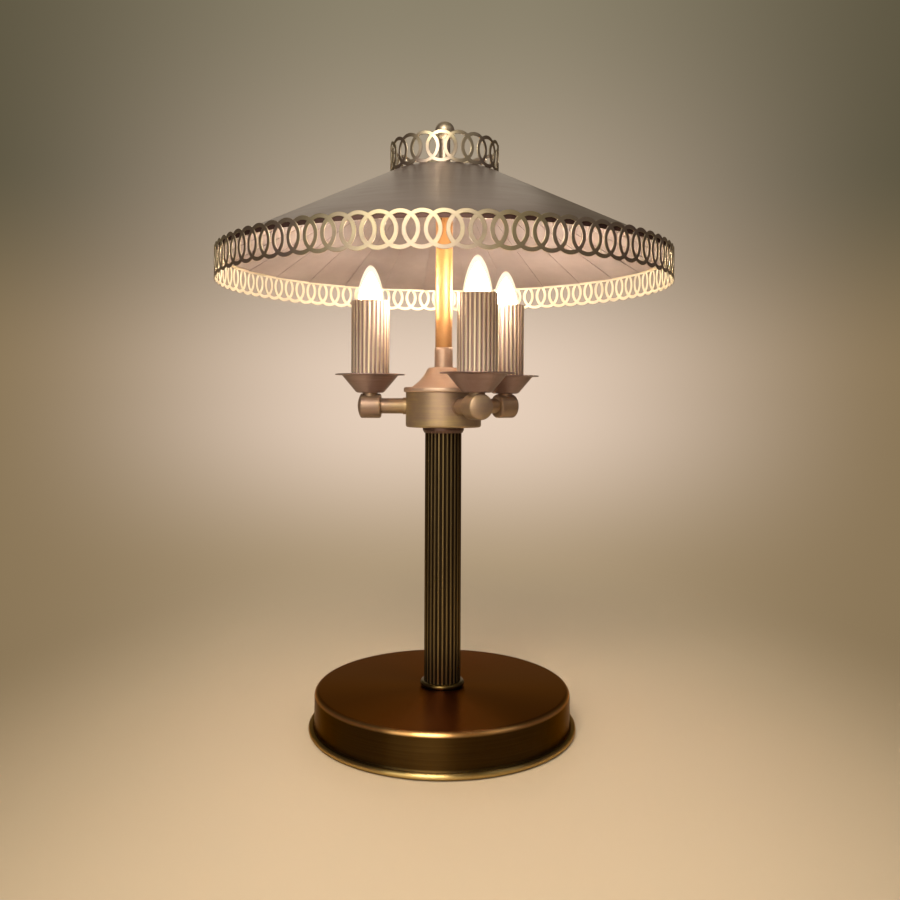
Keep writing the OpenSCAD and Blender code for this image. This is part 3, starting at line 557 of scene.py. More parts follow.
def drum_metal(name, wall, top, rough):
    """Dark lacquer, its flat top painted redder as a painted reflection of the bulbs' warm glow, its shine
    drawn out across the lathe's circles.
    """
    material, tree, where = surface(name)
    height = add(tree, "SPLIT", where, out="Z")
    high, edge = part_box("base_shell")[1].z, 3 * MM
    lines = streaks(tree, where, 90, 1.4, 4, 0.6)
    # The top's redder colour is a painted reflection of the bulbs' warm glow
    tone = add(tree, "BLEND", add(tree, "RANGE", height, high - edge, high), linear(wall), linear(top))
    # Lacquer worn off the rounded top edge and the bead, painted pale gold all round: partly wear, partly a
    # painted highlight
    for middle, half, share, bare in ((high - 2.7 * MM, 2.7 * MM, 0.95, "#E4B070"),
                                      (4.5 * MM, 4.6 * MM, 0.8, "#D6BA7A")):
        off = add(tree, "ABSOLUTE", add(tree, "SUBTRACT", height, middle))
        off = add(tree, "EASE", off, 0, half, share, 0)
        tone = add(tree, "BLEND", off, tone, linear(bare))
    paint = add(tree, "BLEND", add(tree, "RANGE", lines, 0.4, 0.8, 0, 0.12), tone, linear("#7A6234"))
    coat(tree, {"Base Color": paint, "Metallic": 1.0, "Specular Tint": linear("#E2C8B0"),
                "Roughness": add(tree, "RANGE", lines, 0, 1, rough - 0.04, rough + 0.06),
                "Anisotropic": 0.9, "Anisotropic Rotation": 0.25,
                "Tangent": add(tree, "ShaderNodeTangent", direction_type="RADIAL", axis="Z")})
    return material


def fluted_metal(name, low, high, rough, metallic):
    """Drawn tube: darker in the flutes and brighter on the ridges, partly oxide and rubbing, partly painted
    shade and painted highlight, with lines along its length.
    """
    material, tree, where = surface(name)
    ridge = add(tree, "ShaderNodeAttribute", out="Fac", attribute_name="ridge")
    lines = streaks(tree, where, 1.2, 90, 3, 0.5)
    # Ridges brighter, flutes darker: partly rubbing and oxide, partly painted highlight and painted shade
    wear = add(tree, "MULTIPLY", add(tree, "RANGE", ridge, 0.35, 1), lines)
    wear = add(tree, "MULTIPLY", wear, 1.7, use_clamp=True)
    coat(tree, {"Base Color": add(tree, "BLEND", wear, linear(low), linear(high)),
                "Metallic": metallic, "Specular Tint": linear("#C8A88C"),
                "Roughness": add(tree, "RANGE", wear, 0, 1, rough + 0.1, rough)})
    return material


def ring_metal(name, low, high, inside, rough):
    """Stamped strip, lacquered, its side towards the bulbs painted pale with the bulbs' light."""
    material, tree, where = surface(name)
    inner = add(tree, "ShaderNodeAttribute", out="Fac", attribute_name="inner")
    clouds = add(tree, "NOISE", {"Vector": where, "Scale": per_mm(40), "Detail": 5, "Roughness": 0.6})
    clouds = add(tree, "RANGE", clouds, 0.3, 0.6)
    paint = add(tree, "BLEND", clouds, tint(low), tint(high))
    # The inner side is painted pale with the bulbs' light
    coat(tree, {"Base Color": add(tree, "BLEND", inner, paint, linear(inside)),
                "Metallic": add(tree, "RANGE", inner, 0, 1, 1.0, 0.4),
                "Roughness": add(tree, "RANGE", clouds, 0, 1, rough + 0.05, rough - 0.03)})
    return material


def bulb_glass(name, glow):
    """Thin frosted envelope: it lets most of the core's light through and glows a little itself."""
    material, tree, where = surface(name)
    # The frosting's grain is coarser than the real one, so that it shows
    frost = add(tree, "NOISE", {"Vector": where, "Scale": per_mm(0.8), "Detail": 2})
    frost = add(tree, "RANGE", frost, 0, 1, 0.24, 0.32)
    lit = add(tree, "ShaderNodeEmission", {"Color": linear(glow), "Strength": 1.9})
    glass = add(tree, "ShaderNodeMixShader", frost, add(tree, "ShaderNodeBsdfTransparent"), lit)
    add(tree, "ShaderNodeOutputMaterial", glass)
    return material


def bulb_core(name, glow, strength):
    """The light of the filament, spread by the frosting: orange at the foot, near white above."""
    material, tree, where = surface(name)
    low, orange, white = foot_of("bulb_glass_left"), 34 * MM, 50 * MM
    rise = add(tree, "EASE", add(tree, "SPLIT", where, out="Z"), low + orange, low + white)
    coat(tree, {"Emission Color": add(tree, "BLEND", rise, linear("#FFB050"), tint(glow)),
                "Emission Strength": strength, "Base Color": linear("#F6F0E4")})
    return material


def plain(name, code, rough, metallic=0.0, grain_mm=1.5, bump=0.1):
    """A moulded, plated or cast surface. Its grain is coarser than the real one, so that it shows."""
    material, tree, where = surface(name)
    tone = linear(code)
    grain = add(tree, "NOISE", {"Vector": where, "Scale": per_mm(grain_mm), "Detail": 4})
    relief = add(tree, "ShaderNodeBump", {"Strength": bump, "Distance": 0.4 * MM, "Height": grain})
    coat(tree, {"Base Color": add(tree, "BLEND", grain, darker(tone, 0.75), tone), "Roughness": rough,
                "Metallic": metallic, "Normal": relief})
    return material


FINISH = {}


def finishes():
    """Every finish of the lamp, made once and kept by name."""
    if FINISH:
        return FINISH
    tone = bpy.context.scene.lamp_colours
    # The pale first tone is painted bulb light on the rings' inner sides and the cone's inner edge
    bare, strip = "#E6DABC", "#9A8A84"
    FINISH.update({
        # Turned brass under tinted lacquer: olive gold where it is rubbed, brown where it isn't
        "turned_brass": worn_metal("Turned brass, lacquered", tone.patina, tone.brass, 0.42, 90, 1.6,
                                   metallic=0.65, bump=0.08),
        # Spun drum, the darkest lacquer: olive black down the wall, red-brown on top as a painted reflection
        # of the bulbs' glow, and a painted highlight with wear round its edges
        "drum": drum_metal("Spun brass, dark lacquer", "#38270F", "#5A3218", 0.31),
        # Foot ring: dark olive, with a sharp shine
        "olive_brass": worn_metal("Turned brass, olive lacquer", "#46371E", "#84703E", 0.28, 60, 1.6),
        # Collar: painted shade under the hub, browner than the foot ring
        "dark_brass": worn_metal("Turned brass, painted shade", "#5A443C", "#80655A", 0.36, 60, 1.6,
                                 metallic=0.7, bump=0.06),
        # Outside of the cone's edge: painted shade, a dark line behind the rings
        "flange": worn_metal("Spun sheet, painted shade edge", "#4A3632", "#65504A", 0.42, 60, 3.0, metallic=0.8,
                             bump=0.03, glance="#B09890"),
        # Bronzed brass near the bulbs: copper lacquer, painted pale with the bulbs' light
        "copper_and_bulb_light": worn_metal("Spun brass, copper lacquer and painted bulb light", "#DEBDA2", tone.copper, 0.46, 70, 2.2,
                                   metallic=0.7, bump=0.06),
        # Drawn rod: copper lacquer, painted brightest with the bulbs' light
        "rod_copper_and_bulb_light": worn_metal("Drawn brass, copper lacquer and painted bulb light", "#B48450", "#CC9862", 0.5, 70, 30,
                                 metallic=0.7, bump=0.03),
        # Pressed pans: the shade's mauve-brown, paler and nearly all metal
        "pan_sheet": worn_metal("Pressed brass, satin bronzed", "#927A76", "#B8A29E", 0.4, 60, 2.2,
                                metallic=0.85, bump=0.05),
        # Drawn fluted tube: nearly black hollows and rubbed ridges on the column, partly oxide and wear,
        # partly painted shade and highlight; the sleeves are a paler copy painted with the bulbs' light
        "fluted_dark": fluted_metal("Drawn fluted brass, dark", "#261D12", "#7E6C48", 0.28, 0.9),
        "fluted_painted_bulb_light": fluted_metal("Drawn fluted brass, painted bulb light", "#AC928A", "#F6E9C8", 0.34, 0.5),
        # Bronzed sheet, satin: soft mauve-brown with hardly any pattern
        "shade_sheet": worn_metal("Spun sheet, satin bronzed", "#62524C", tone.shade, 0.36, 120, 5.0,
                                  metallic=0.65, bump=0.02),
        # Leaves: the same mauve-brown, pale, and painted darker towards the top as painted shade
        "lining": worn_metal("Rolled brass leaf, satin", "#AC9F9C", tone.lining, 0.42, 90, 9.0, metallic=0.6,
                             bump=0.02, shaded_heights=(0.515, 0.55)),
        # Stamped strip: mauve-brown lacquer that shines pale gold where it faces a light, its inner side
        # painted pale with the bulbs' light
        "ring_brass": ring_metal("Stamped brass strip", strip, tone.rings, bare, 0.4),
        # Ball: the strip's colour with a satin shine
        "ball_brass": worn_metal("Turned brass ball, satin", strip, tone.rings, 0.42, 40, 1.6, metallic=0.9,
                                 bump=0.05),
        # Inside of the cone's edge: pale, painted with the bulbs' light
        "edge_painted_bulb_light": worn_metal("Spun sheet, painted bulb light edge", "#DED1B0", bare, 0.4, 60, 3.0, metallic=0.4,
                                bump=0.02),
        # Lit bulbs: a warm veil of frosted glass over a core that burns white
        "bulb_glass": bulb_glass("Frosted bulb glass", "#FFEFCC"),
        "bulb_core": bulb_core("Glowing filament", tone.glow, 310.0),
        # Fittings inside: cool grey plating, dull aluminium, yellow contacts, rough black iron
        "zinc_steel": plain("Zinc plated steel", "#A9ABAD", 0.35, metallic=1.0),
        "aluminium": plain("Rolled aluminium", "#C8CACC", 0.3, metallic=1.0),
        "contact_brass": plain("Bright brass", "#C9A860", 0.3, metallic=1.0),
        "cast_iron": plain("Cast iron", "#3A3A3A", 0.7, metallic=0.8, grain_mm=2.5, bump=0.5),
        # Base plate and bushing: near black, half matt
        "black_paint": plain("Black enamel on steel", "#1E1D1C", 0.5),
        "black_moulding": plain("Black moulded nylon", "#1B1A19", 0.55),
        # Insulation: chalky, ivory and pale grey, none of it shiny
        "ceramic": plain("Steatite ceramic", "#DCD6C8", 0.6),
        "ivory_moulding": plain("Ivory moulded thermoset", "#E4DDCB", 0.45),
        "sheath": plain("Silicone lead sheath", "#CFC8B6", 0.55),
        # Felt: black-brown nap without any shine
        "felt": plain("Pressed wool felt", "#2B2824", 0.95, grain_mm=0.9, bump=0.8),
    })
    return FINISH


def dress(finish, *nodes):
    """Gives CAD nodes that stay as they are their finish."""
    for name in nodes:
        node = frame["nodes"][name]
        node.data.materials.clear()
        node.data.materials.append(finishes()[finish])


def fluted_tube(name, radius, foot, tall, turn):
    """One fluted tube from the geometry tree, its first flute turned to an angle in degrees."""
    size = bpy.context.scene.lamp_tube
    sizes = {"Radius": radius, "Bore": radius - size.depth - size.wall, "Depth": size.depth,
             "Flute radius": size.round, "Flutes": size.flutes, "Length": tall,
             "Turn": math.radians(turn) - math.pi / size.flutes, "Foot": foot,
             "Material": finishes()["fluted_dark"]}
    tree = bpy.data.node_groups.get("Fluted tube") or fluted_tube_tree(sizes)
    return grown(name, tree, sizes)


# Operators


class LAMP_OT_base(bpy.types.Operator):
    """Spun drum with its rolled bead, the felt, and the pieces inside"""
    bl_idname = "lamp.base"
    bl_label = "Base"

    def execute(self, context):
        size = context.scene.lamp_base
        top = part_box("base_shell")[1].z
        wall, inner = size.radius, size.radius - size.sheet
        bead = size.bead / 2
        middle = (wall - size.sheet / 2 + bead, size.bead_lift + bead)
        lean = math.degrees(math.acos((wall - middle[0]) / bead))
        bend = (wall - size.edge, top - size.edge)
        outline = ([(inner, foot_of("base_cover"))] + arc(middle, bead, -lean, lean, 20)
                   + arc(bend, size.edge, 0, 90, 8) + [(size.hole, top), (size.hole, top - size.sheet)]
                   + arc(bend, size.edge - size.sheet, 90, 0, 8))
        mesh = turned("base_drum", outline, segments=192)
        low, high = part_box("cord_bushing")
        across = (Matrix.Translation((0, wall, (low.z + high.z) / 2))
                  @ Matrix.Rotation(math.radians(90), 4, "X"))
        mesh = bored(mesh, across, size.cord_hole, 8 * size.sheet)
        as_object("base_drum", mesh, "drum", "bronzed_brass", "base_shell")
        low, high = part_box("felt_pad")
        soft = 0.5 * MM
        outline = eased([(0, low.z, 0), (high.x, low.z, soft), (high.x, high.z, soft), (0, high.z, 0)])
        felt = lathe("felt_disc", outline, "felt", "felt", "felt_pad", segments=160)
        dress("black_paint", "base_cover")
        dress("black_moulding", "cord_bushing")
        dress("cast_iron", "base_weight")
        dress("zinc_steel", "base_washer", "base_nut", "tie_rod")
        return {"FINISHED"}


class LAMP_OT_column(bpy.types.Operator):
    """Foot ring, fluted column and top collar"""
    bl_idname = "lamp.column"
    bl_label = "Column"

    def execute(self, context):
        size = context.scene.lamp_tube
        seat, hole = size.column + FIT, context.scene.lamp_base.hole
        foot_deep, collar_deep, ease = 2 * MM, 2.4 * MM, 0.4 * MM
        low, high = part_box("foot_ring")
        bead, floor = (high.z - low.z) / 2, low.z + foot_deep
        outline = ([(hole, low.z)] + arc((high.x - bead, low.z + bead), bead, -90, 90, 12)
                   + [(seat, high.z), (seat, floor), (hole, floor)])
        lathe("foot_ring_turned", outline, "olive_brass", "antique_brass", "foot_ring")
        low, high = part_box("column_collar")
        half, floor = (low.z + high.z) / 2, high.z - collar_deep
        thin = seat + (high.x - seat) / 3
        outline = eased([(seat, low.z, 0), (thin, low.z, ease), (high.x, half, ease), (high.x, high.z, ease),
                         (hole, high.z, 0), (hole, floor, 0), (seat, floor, 0)])
        lathe("collar_turned", outline, "dark_brass", "antique_brass", "column_collar")
        low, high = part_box("column_tube")
        mesh = fluted_tube("column_fluted", size.column, (0.0, 0.0, low.z), high.z - low.z, 0.0)
        as_object("column_fluted", mesh, "fluted_dark", "antique_brass", "column_tube")
        return {"FINISHED"}


class LAMP_OT_hub(bpy.types.Operator):
    """Hub, bell cap, coupling and shade rod"""
    bl_idname = "lamp.hub"
    bl_label = "Hub and rod"

    def execute(self, context):
        hole, wall, foot_ease, rim_ease = context.scene.lamp_base.hole, 2 * MM, 3 * MM, 0.5 * MM
        low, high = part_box("hub_body")
        r = high.x
        outline = eased([(hole, low.z, 0), (r, low.z, foot_ease), (r, high.z, rim_ease),
                         (r - wall, high.z, 0), (r - wall, low.z + wall, 0), (hole, low.z + wall, 0)],
                        steps=6)
        lathe("hub_turned", outline, "turned_brass", "antique_brass", "hub_body", segments=160)
        outline = self.bell(hole, wall, r - wall - FIT, high.z)
        lathe("bell_cap", outline, "copper_and_bulb_light", "bronzed_brass", "hub_cap", segments=160)
        low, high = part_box("rod_coupling")
        r, groove = high.x, 0.46 * MM
        foot_ease, lip_ease, groove_ease, bead_ease = 0.4 * MM, 0.15 * MM, 0.1 * MM, 0.2 * MM
        outline = eased([(hole, low.z, 0), (r, low.z, foot_ease), (r, high.z - 4 * groove, lip_ease),
                         (r - groove, high.z - 3 * groove, groove_ease),
                         (r, high.z - 2 * groove, bead_ease), (r - groove, high.z, bead_ease),
                         (hole, high.z, 0)])
        lathe("coupling_turned", outline, "copper_and_bulb_light", "antique_brass", "rod_coupling")
        low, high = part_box("shade_rod")
        outline = [(hole, low.z), (high.x, low.z), (high.x, high.z), (hole, high.z)]
        lathe("rod_drawn", outline, "rod_copper_and_bulb_light", "bronzed_brass", "shade_rod")
        dress("zinc_steel", "hub_nut", "arm_lock_nuts")
        dress("ceramic", "terminal_ring")
        dress("sheath", "arm_leads")
        return {"FINISHED"}

    def bell(self, hole, wall, lip, base):
        """Lip in the hub, rounded flange and a hollow-sided bell with a softened top."""
        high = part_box("hub_cap")[1]
        top, flange_r = high.z, high.x
        flange, lip_deep, bow, steps = 5.5 * MM, 2.5 * MM, 2.2 * MM, 14
        foot_r, head_r = 34.5 * MM, 16.5 * MM
        # The top edge is softened by steps inwards and down, in millimetres
        soft_top = ((0.1, 0.8), (0.6, 0.2), (1.4, 0))
        foot, head = Vector((foot_r, base + flange)), Vector((head_r, top))
        side = head - foot
        out = Vector((side.y, -side.x)).normalized()
        bell = [foot + side * (i / steps) - out * bow * math.sin(math.pi * i / steps)
                for i in range(steps + 1)]
        soft = flange / 3
        return ([(lip - wall, base - lip_deep), (lip, base - lip_deep), (lip, base)]
                + arc((flange_r - soft, base + soft), soft, -90, 0, 5)
                + arc((flange_r - soft, base + flange - soft), soft, 0, 90, 5)
                + [(p.x, p.y) for p in bell[:-1]]
                + [(head_r - back * MM, top - down * MM) for back, down in soft_top]
                + [(hole, top), (hole, top - wall)]
                + [(min(p.x, lip) - wall, p.y - wall) for p in bell[::-1]])


class LAMP_OT_arms(bpy.types.Operator):
    """Arm tubes and domed knuckles"""
    bl_idname = "lamp.arms"
    bl_label = "Arms"

    def execute(self, context):
        seat_ring, knuckle_back = 3 * MM, 12 * MM
        root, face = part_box("hub_body")[1].x + seat_ring, candle_axis("left").length - knuckle_back
        low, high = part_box("arm_left")
        height = (low.z + high.z) / 2
        tube, end, bore, ease = (high.z - low.z) / 2, 5 * MM, 3.2 * MM, 0.4 * MM
        inner, tip = -high.x, -low.x
        # Barrel with a shallow dome, its edge eased where they meet
        r, straight, dome, edge = 13.1 * MM, 21.5 * MM, 3.6 * MM, 2.4 * MM
        ball = (r * r + dome * dome) / (2 * dome)
        middle = face + straight + dome - ball
        rise = math.sqrt((ball - edge) ** 2 - (r - edge) ** 2)
        turn = math.degrees(math.atan2(rise, r - edge))
        hole_deep = 17.1 * MM
        hole, deep = end + FIT, face + hole_deep
        pan, seat_r = foot_of("drip_pan_left"), 8 * MM
        for side in SIDES:
            place = along_arm(side, height)
            outline = eased([(bore, inner, 0), (end, inner, 0), (end, root, 0), (tube, root, ease),
                             (tube, face, 0), (end, face, 0), (end, tip, 0), (bore, tip, 0)])
            lathe("arm_tube_" + side, outline, "turned_brass", "antique_brass", "arm_" + side, place=place,
                  segments=64)
            outline = ([(hole, face)] + arc((r - edge, face + edge), edge, -90, 0)
                       + arc((r - edge, middle + rise), edge, 0, turn) + arc((0, middle), ball, turn, 90, 12)
                       + [(0, deep), (hole, deep)])
            seat = [(hole, height + end), (seat_r, height + end), (seat_r, pan), (hole, pan)]
            name = "knuckle_domed_" + side
            mesh = joined(name, turned("barrel", outline, place, 96),
                          turned("seat", seat, Matrix.Translation(candle_axis(side)), 64))
            as_object(name, mesh, "turned_brass", "antique_brass", "knuckle_" + side)
        dress("turned_brass", "arm_seats")
        return {"FINISHED"}


class LAMP_OT_candles(bpy.types.Operator):
    """Drip pans, fluted sleeves and lit bulbs"""
    bl_idname = "lamp.candles"
    bl_label = "Candles"

    def execute(self, context):
        radius = context.scene.lamp_tube.sleeve
        for side in SIDES:
            axis, bulb = candle_axis(side), "bulb_" + side
            place = Matrix.Translation(axis)
            lathe("pan_pressed_" + side, self.pan(side), "pan_sheet", "bronzed_brass", "drip_pan_" + side,
                  place=place)
            sleeve, name = "sleeve_" + side, "sleeve_fluted_" + side
            low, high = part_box(sleeve)
            mesh = fluted_tube(name, radius, (axis.x, axis.y, low.z), high.z - low.z, ARM_TURN[side])
            as_object(name, mesh, "fluted_painted_bulb_light", "antique_brass", sleeve, body=sleeve)
            lathe("bulb_frosted_" + side, self.bulb(side), "bulb_glass", "bulb_glass", "bulb_glass_" + side,
                  body=bulb, place=place, segments=96)
            lathe("bulb_core_" + side, self.core(side), "bulb_core", "bulb_glass", body=bulb, place=place,
                  segments=48)
            dress("aluminium", "bulb_cap_" + side)
            dress("ivory_moulding", "lampholder_" + side)
        dress("zinc_steel", "candle_nipples")
        dress("contact_brass", "screw_shells", "centre_contacts")
        return {"FINISHED"}

    def pan(self, side):
        """Floor, sloping wall and lip of the pan, with a rolled edge."""
        low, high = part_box("drip_pan_" + side)
        z, slope, sheet, hole = low.z, 50, 1 * MM, 5.1 * MM
        floor, bend, turn = 12 * MM, 5 * MM, 4 * MM
        lip_z, edge = high.z - sheet, (high.x - low.x) / 2
        sine, cosine = math.sin(math.radians(slope)), math.cos(math.radians(slope))
        wall_r, wall_z = floor + bend * sine, bend * (1 - cosine)
        top_z = lip_z - z - turn * (1 - cosine)
        lip_r = wall_r + (top_z - wall_z) / math.tan(math.radians(slope)) + turn * sine
        inner, outer = (floor, z + bend), (lip_r, lip_z - turn)
        return ([(hole, z + sheet), (hole, z)]
                + arc(inner, bend, -90, slope - 90, 8)
                + arc(outer, turn, 90 + slope, 90, 6)
                + arc((edge - sheet / 2, lip_z + sheet / 2), sheet / 2, -90, 90, 6)
                + arc(outer, turn + sheet, 90, 90 + slope, 6)
                + arc(inner, bend - sheet, slope - 90, -90, 8))

    def bulb(self, side):
        """Candle-shaped glass from its neck to its tip."""
        low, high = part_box("bulb_glass_" + side)
        neck, wide, rise, glass = 8.2 * MM, 16 * MM, 25 * MM, 0.8 * MM
        tall, tip = high.z - low.z - rise, high.z - 3 * glass
        outer, neck_steps, tip_steps, full = [], 14, 36, 0.77
        for i in range(neck_steps + 1):
            v = i / neck_steps
            outer.append((neck + (wide - neck) * (1 - math.cos(math.pi * v)) / 2, low.z + rise * v))
        for i in range(tip_steps - 1, -1, -1):
            u = (i / tip_steps) ** 2
            flame = full * math.sqrt(1 - (1 - u) ** 2) + (1 - full) * math.sin(math.pi / 2 * u)
            outer.append((wide * flame, high.z - tall * u))
        inner = [(max(r - glass, 0), min(z, tip)) for r, z in outer if r > 2 * glass]
        return outer + [(0, tip)] + inner[::-1]

    def core(self, side):
        """Flame-shaped core inside the glass."""
        low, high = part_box("bulb_glass_" + side)
        above, below, wide, steps = 22 * MM, 7 * MM, 12 * MM, 24
        sag, full = 0.75, 0.8
        foot, tall = low.z + above, high.z - low.z - above - below
        flame = [(wide * math.sin(math.pi * (i / steps) ** sag) ** full, foot + tall * i / steps)
                 for i in range(1, steps)]
        return [(0, foot)] + flame + [(0, foot + tall)]


class LAMP_OT_shade(bpy.types.Operator):
    """Cone with its flange, lining leaves and spider"""
    bl_idname = "lamp.shade"
    bl_label = "Shade"

    def execute(self, context):
        size = context.scene.lamp_shade
        low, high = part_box("shade_cone")
        step, ease = 0.5 * MM, 0.1 * MM
        edge = low.z + size.flange
        bend = edge - step
        slope = math.atan2(high.z - edge, size.rim - size.top)
        inner = size.rim - size.sheet
        under = high.z - size.sheet / math.cos(slope)
        outline = [(size.top, high.z), (size.top - (high.z - under) / math.tan(slope), high.z),
                   (inner, under - (inner - size.top) * math.tan(slope)), (inner, bend), (size.rim, bend),
                   (size.rim, edge)]
        lathe("cone_spun", outline, "shade_sheet", "shade_sheet", "shade_cone", body="shade", segments=256)
        half = (inner + size.rim) / 2
        # The outer half of the edge is painted shade, the inner half painted bulb light
        for name, a, b, finish in (("cone_flange", half, size.rim, "flange"),
                                   ("cone_edge", inner, half, "edge_painted_bulb_light")):
            outline = eased([(a, low.z, ease), (b, low.z, ease), (b, bend, 0), (a, bend, 0)])
            lathe(name, outline, finish, "shade_sheet", body="shade", segments=256)
        mesh = self.lining(context, slope, under)
        as_object("lining_leaves", mesh, "lining", "lining_leaf", "shade_lining", body="shade")
        dress("turned_brass", "shade_spider")
        return {"FINISHED"}

    def lining(self, context, slope, under):
        """The leaves hang a little under the cone's sheet, clear of its top hole and its flange."""
        size = context.scene.lamp_shade
        top_clear, rim_clear = 3 * MM, 3.5 * MM
        top, rim = size.top + top_clear, size.rim - rim_clear
        half = math.tan(math.pi / size.leaves)
        sizes = {"Leaves": size.leaves, "Top": top, "Rim": rim, "Half width": half,
                 "Lap": 3 * MM, "Step": size.leaf_step, "Tilt": size.leaf_step / (2 * rim * half),
                 "Gap": 3 * MM, "Thickness": 0.4 * MM, "Slope": slope,
                 "Height": under - top_clear * math.tan(slope), "Material": finishes()["lining"]}
        return grown("lining_leaves", leaf_lining_tree(sizes), sizes)


class LAMP_OT_ring_bands(bpy.types.Operator):
    """The rim band and the gallery of interlocking rings"""
    bl_idname = "lamp.ring_bands"
    bl_label = "Ring bands"

    def execute(self, context):
        size = context.scene.lamp_shade
        half_band = 0.5 * MM
        # Name, node, rings, where the first ring stands, and how much painted bulb light the inside gets
        for name, node, rings, turn, bare in (("rim_rings", "rim_band", size.rim_rings, -90.0, 1.0),
                                              ("gallery_rings", "gallery_band", size.top_rings, -93.3, 0.15)):
            low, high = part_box(node)
            outside = max(-low.x, high.x, -low.y, high.y)
            sizes = {"Ring radius": (high.z - low.z) / 2, "Ring width": size.ring_width,
                     "Strip": size.strip, "Weave": size.weave, "Rings": rings, "Painted bulb light": bare,
                     "Band radius": outside - half_band, "Height": (low.z + high.z) / 2,
                     "Turn": math.radians(turn), "Material": finishes()["ring_brass"]}
            tree = bpy.data.node_groups.get("Ring band") or ring_band_tree(sizes)
            as_object(name, grown(name, tree, sizes), "ring_brass", "ring_brass", node, body="shade")
        return {"FINISHED"}


class LAMP_OT_finial(bpy.types.Operator):
    """Ball finial with its neck and washer"""
    bl_idname = "lamp.finial"
    bl_label = "Finial"

    def execute(self, context):
        low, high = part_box("finial")
        ball, neck, hole, bead, waist = 10.5 * MM, 6 * MM, 3.05 * MM, 0.5 * MM, 0.8 * MM
        collar, waist_up, thread, lean = 2 * MM, 1 * MM, 20 * MM, 60
        middle, foot, deep = high.z - ball, low.z + collar, low.z + thread
        start = math.degrees(math.asin(neck / ball)) - 90
        outline = ([(hole, low.z)] + arc((neck + bead, low.z + bead), bead, -90, 0)
                   + arc((neck + bead, foot - bead), bead, 0, lean)
                   + arc((neck + waist, foot + waist_up), waist, 180 + lean, 180)
                   + arc((0, middle), ball, start, 90, 24) + [(0, deep), (hole, deep)])
        lathe("finial_ball", outline, "ball_brass", "ring_brass", "finial", body="finial", segments=96)
        dress("zinc_steel", "finial_washer")
        return {"FINISHED"}


def backdrop(tree, where, wall):
    """The backdrop's colour in a direction: a painted pool of light palest behind the lamp, painted shade
    upwards and to the sides, and a painted shadow of the shade above the lamp.

    The metal sees it before the lamp as well, with dark ends, so that its edges turn dark."""
    x, y, z = add(tree, "SPLIT", add(tree, "VECTOR", where, operation="NORMALIZE")).node.outputs
    seen = add(tree, "ShaderNodeLightPath", out="Is Camera Ray")
    unseen = add(tree, "SUBTRACT", 1, seen)
    before = add(tree, "EASE", y, 0.3, -0.1, 0, seen)
    aside = add(tree, "MAXIMUM", add(tree, "ABSOLUTE", x), before)
    rise = add(tree, "EASE", z, 0.02, 0.25)
    flanks = add(tree, "BLEND", rise, linear(BACKDROP_SIDES), linear(BACKDROP_FLANKS))
    # Direction, where the change starts and ends, how much of it there is, and its colour
    # The first row paints the shade's shadow on the wall, the next two paint shade upwards and to the sides,
    # and the last darkens only what the metal sees
    for way, start, end, most, tone in ((z, 0.02, 0.16, 0.5, linear(BACKDROP_SHADE_SHADOW)),
                                        (z, 0.05, 0.45, 1, linear(BACKDROP_TOP)),
                                        (aside, 0.05, 0.5, 1, flanks),
                                        (aside, 0.5, 0.9, unseen, linear(BACKDROP_ENDS))):
        wall = add(tree, "BLEND", add(tree, "EASE", way, start, end, 0, most), wall, tone)
    return wall


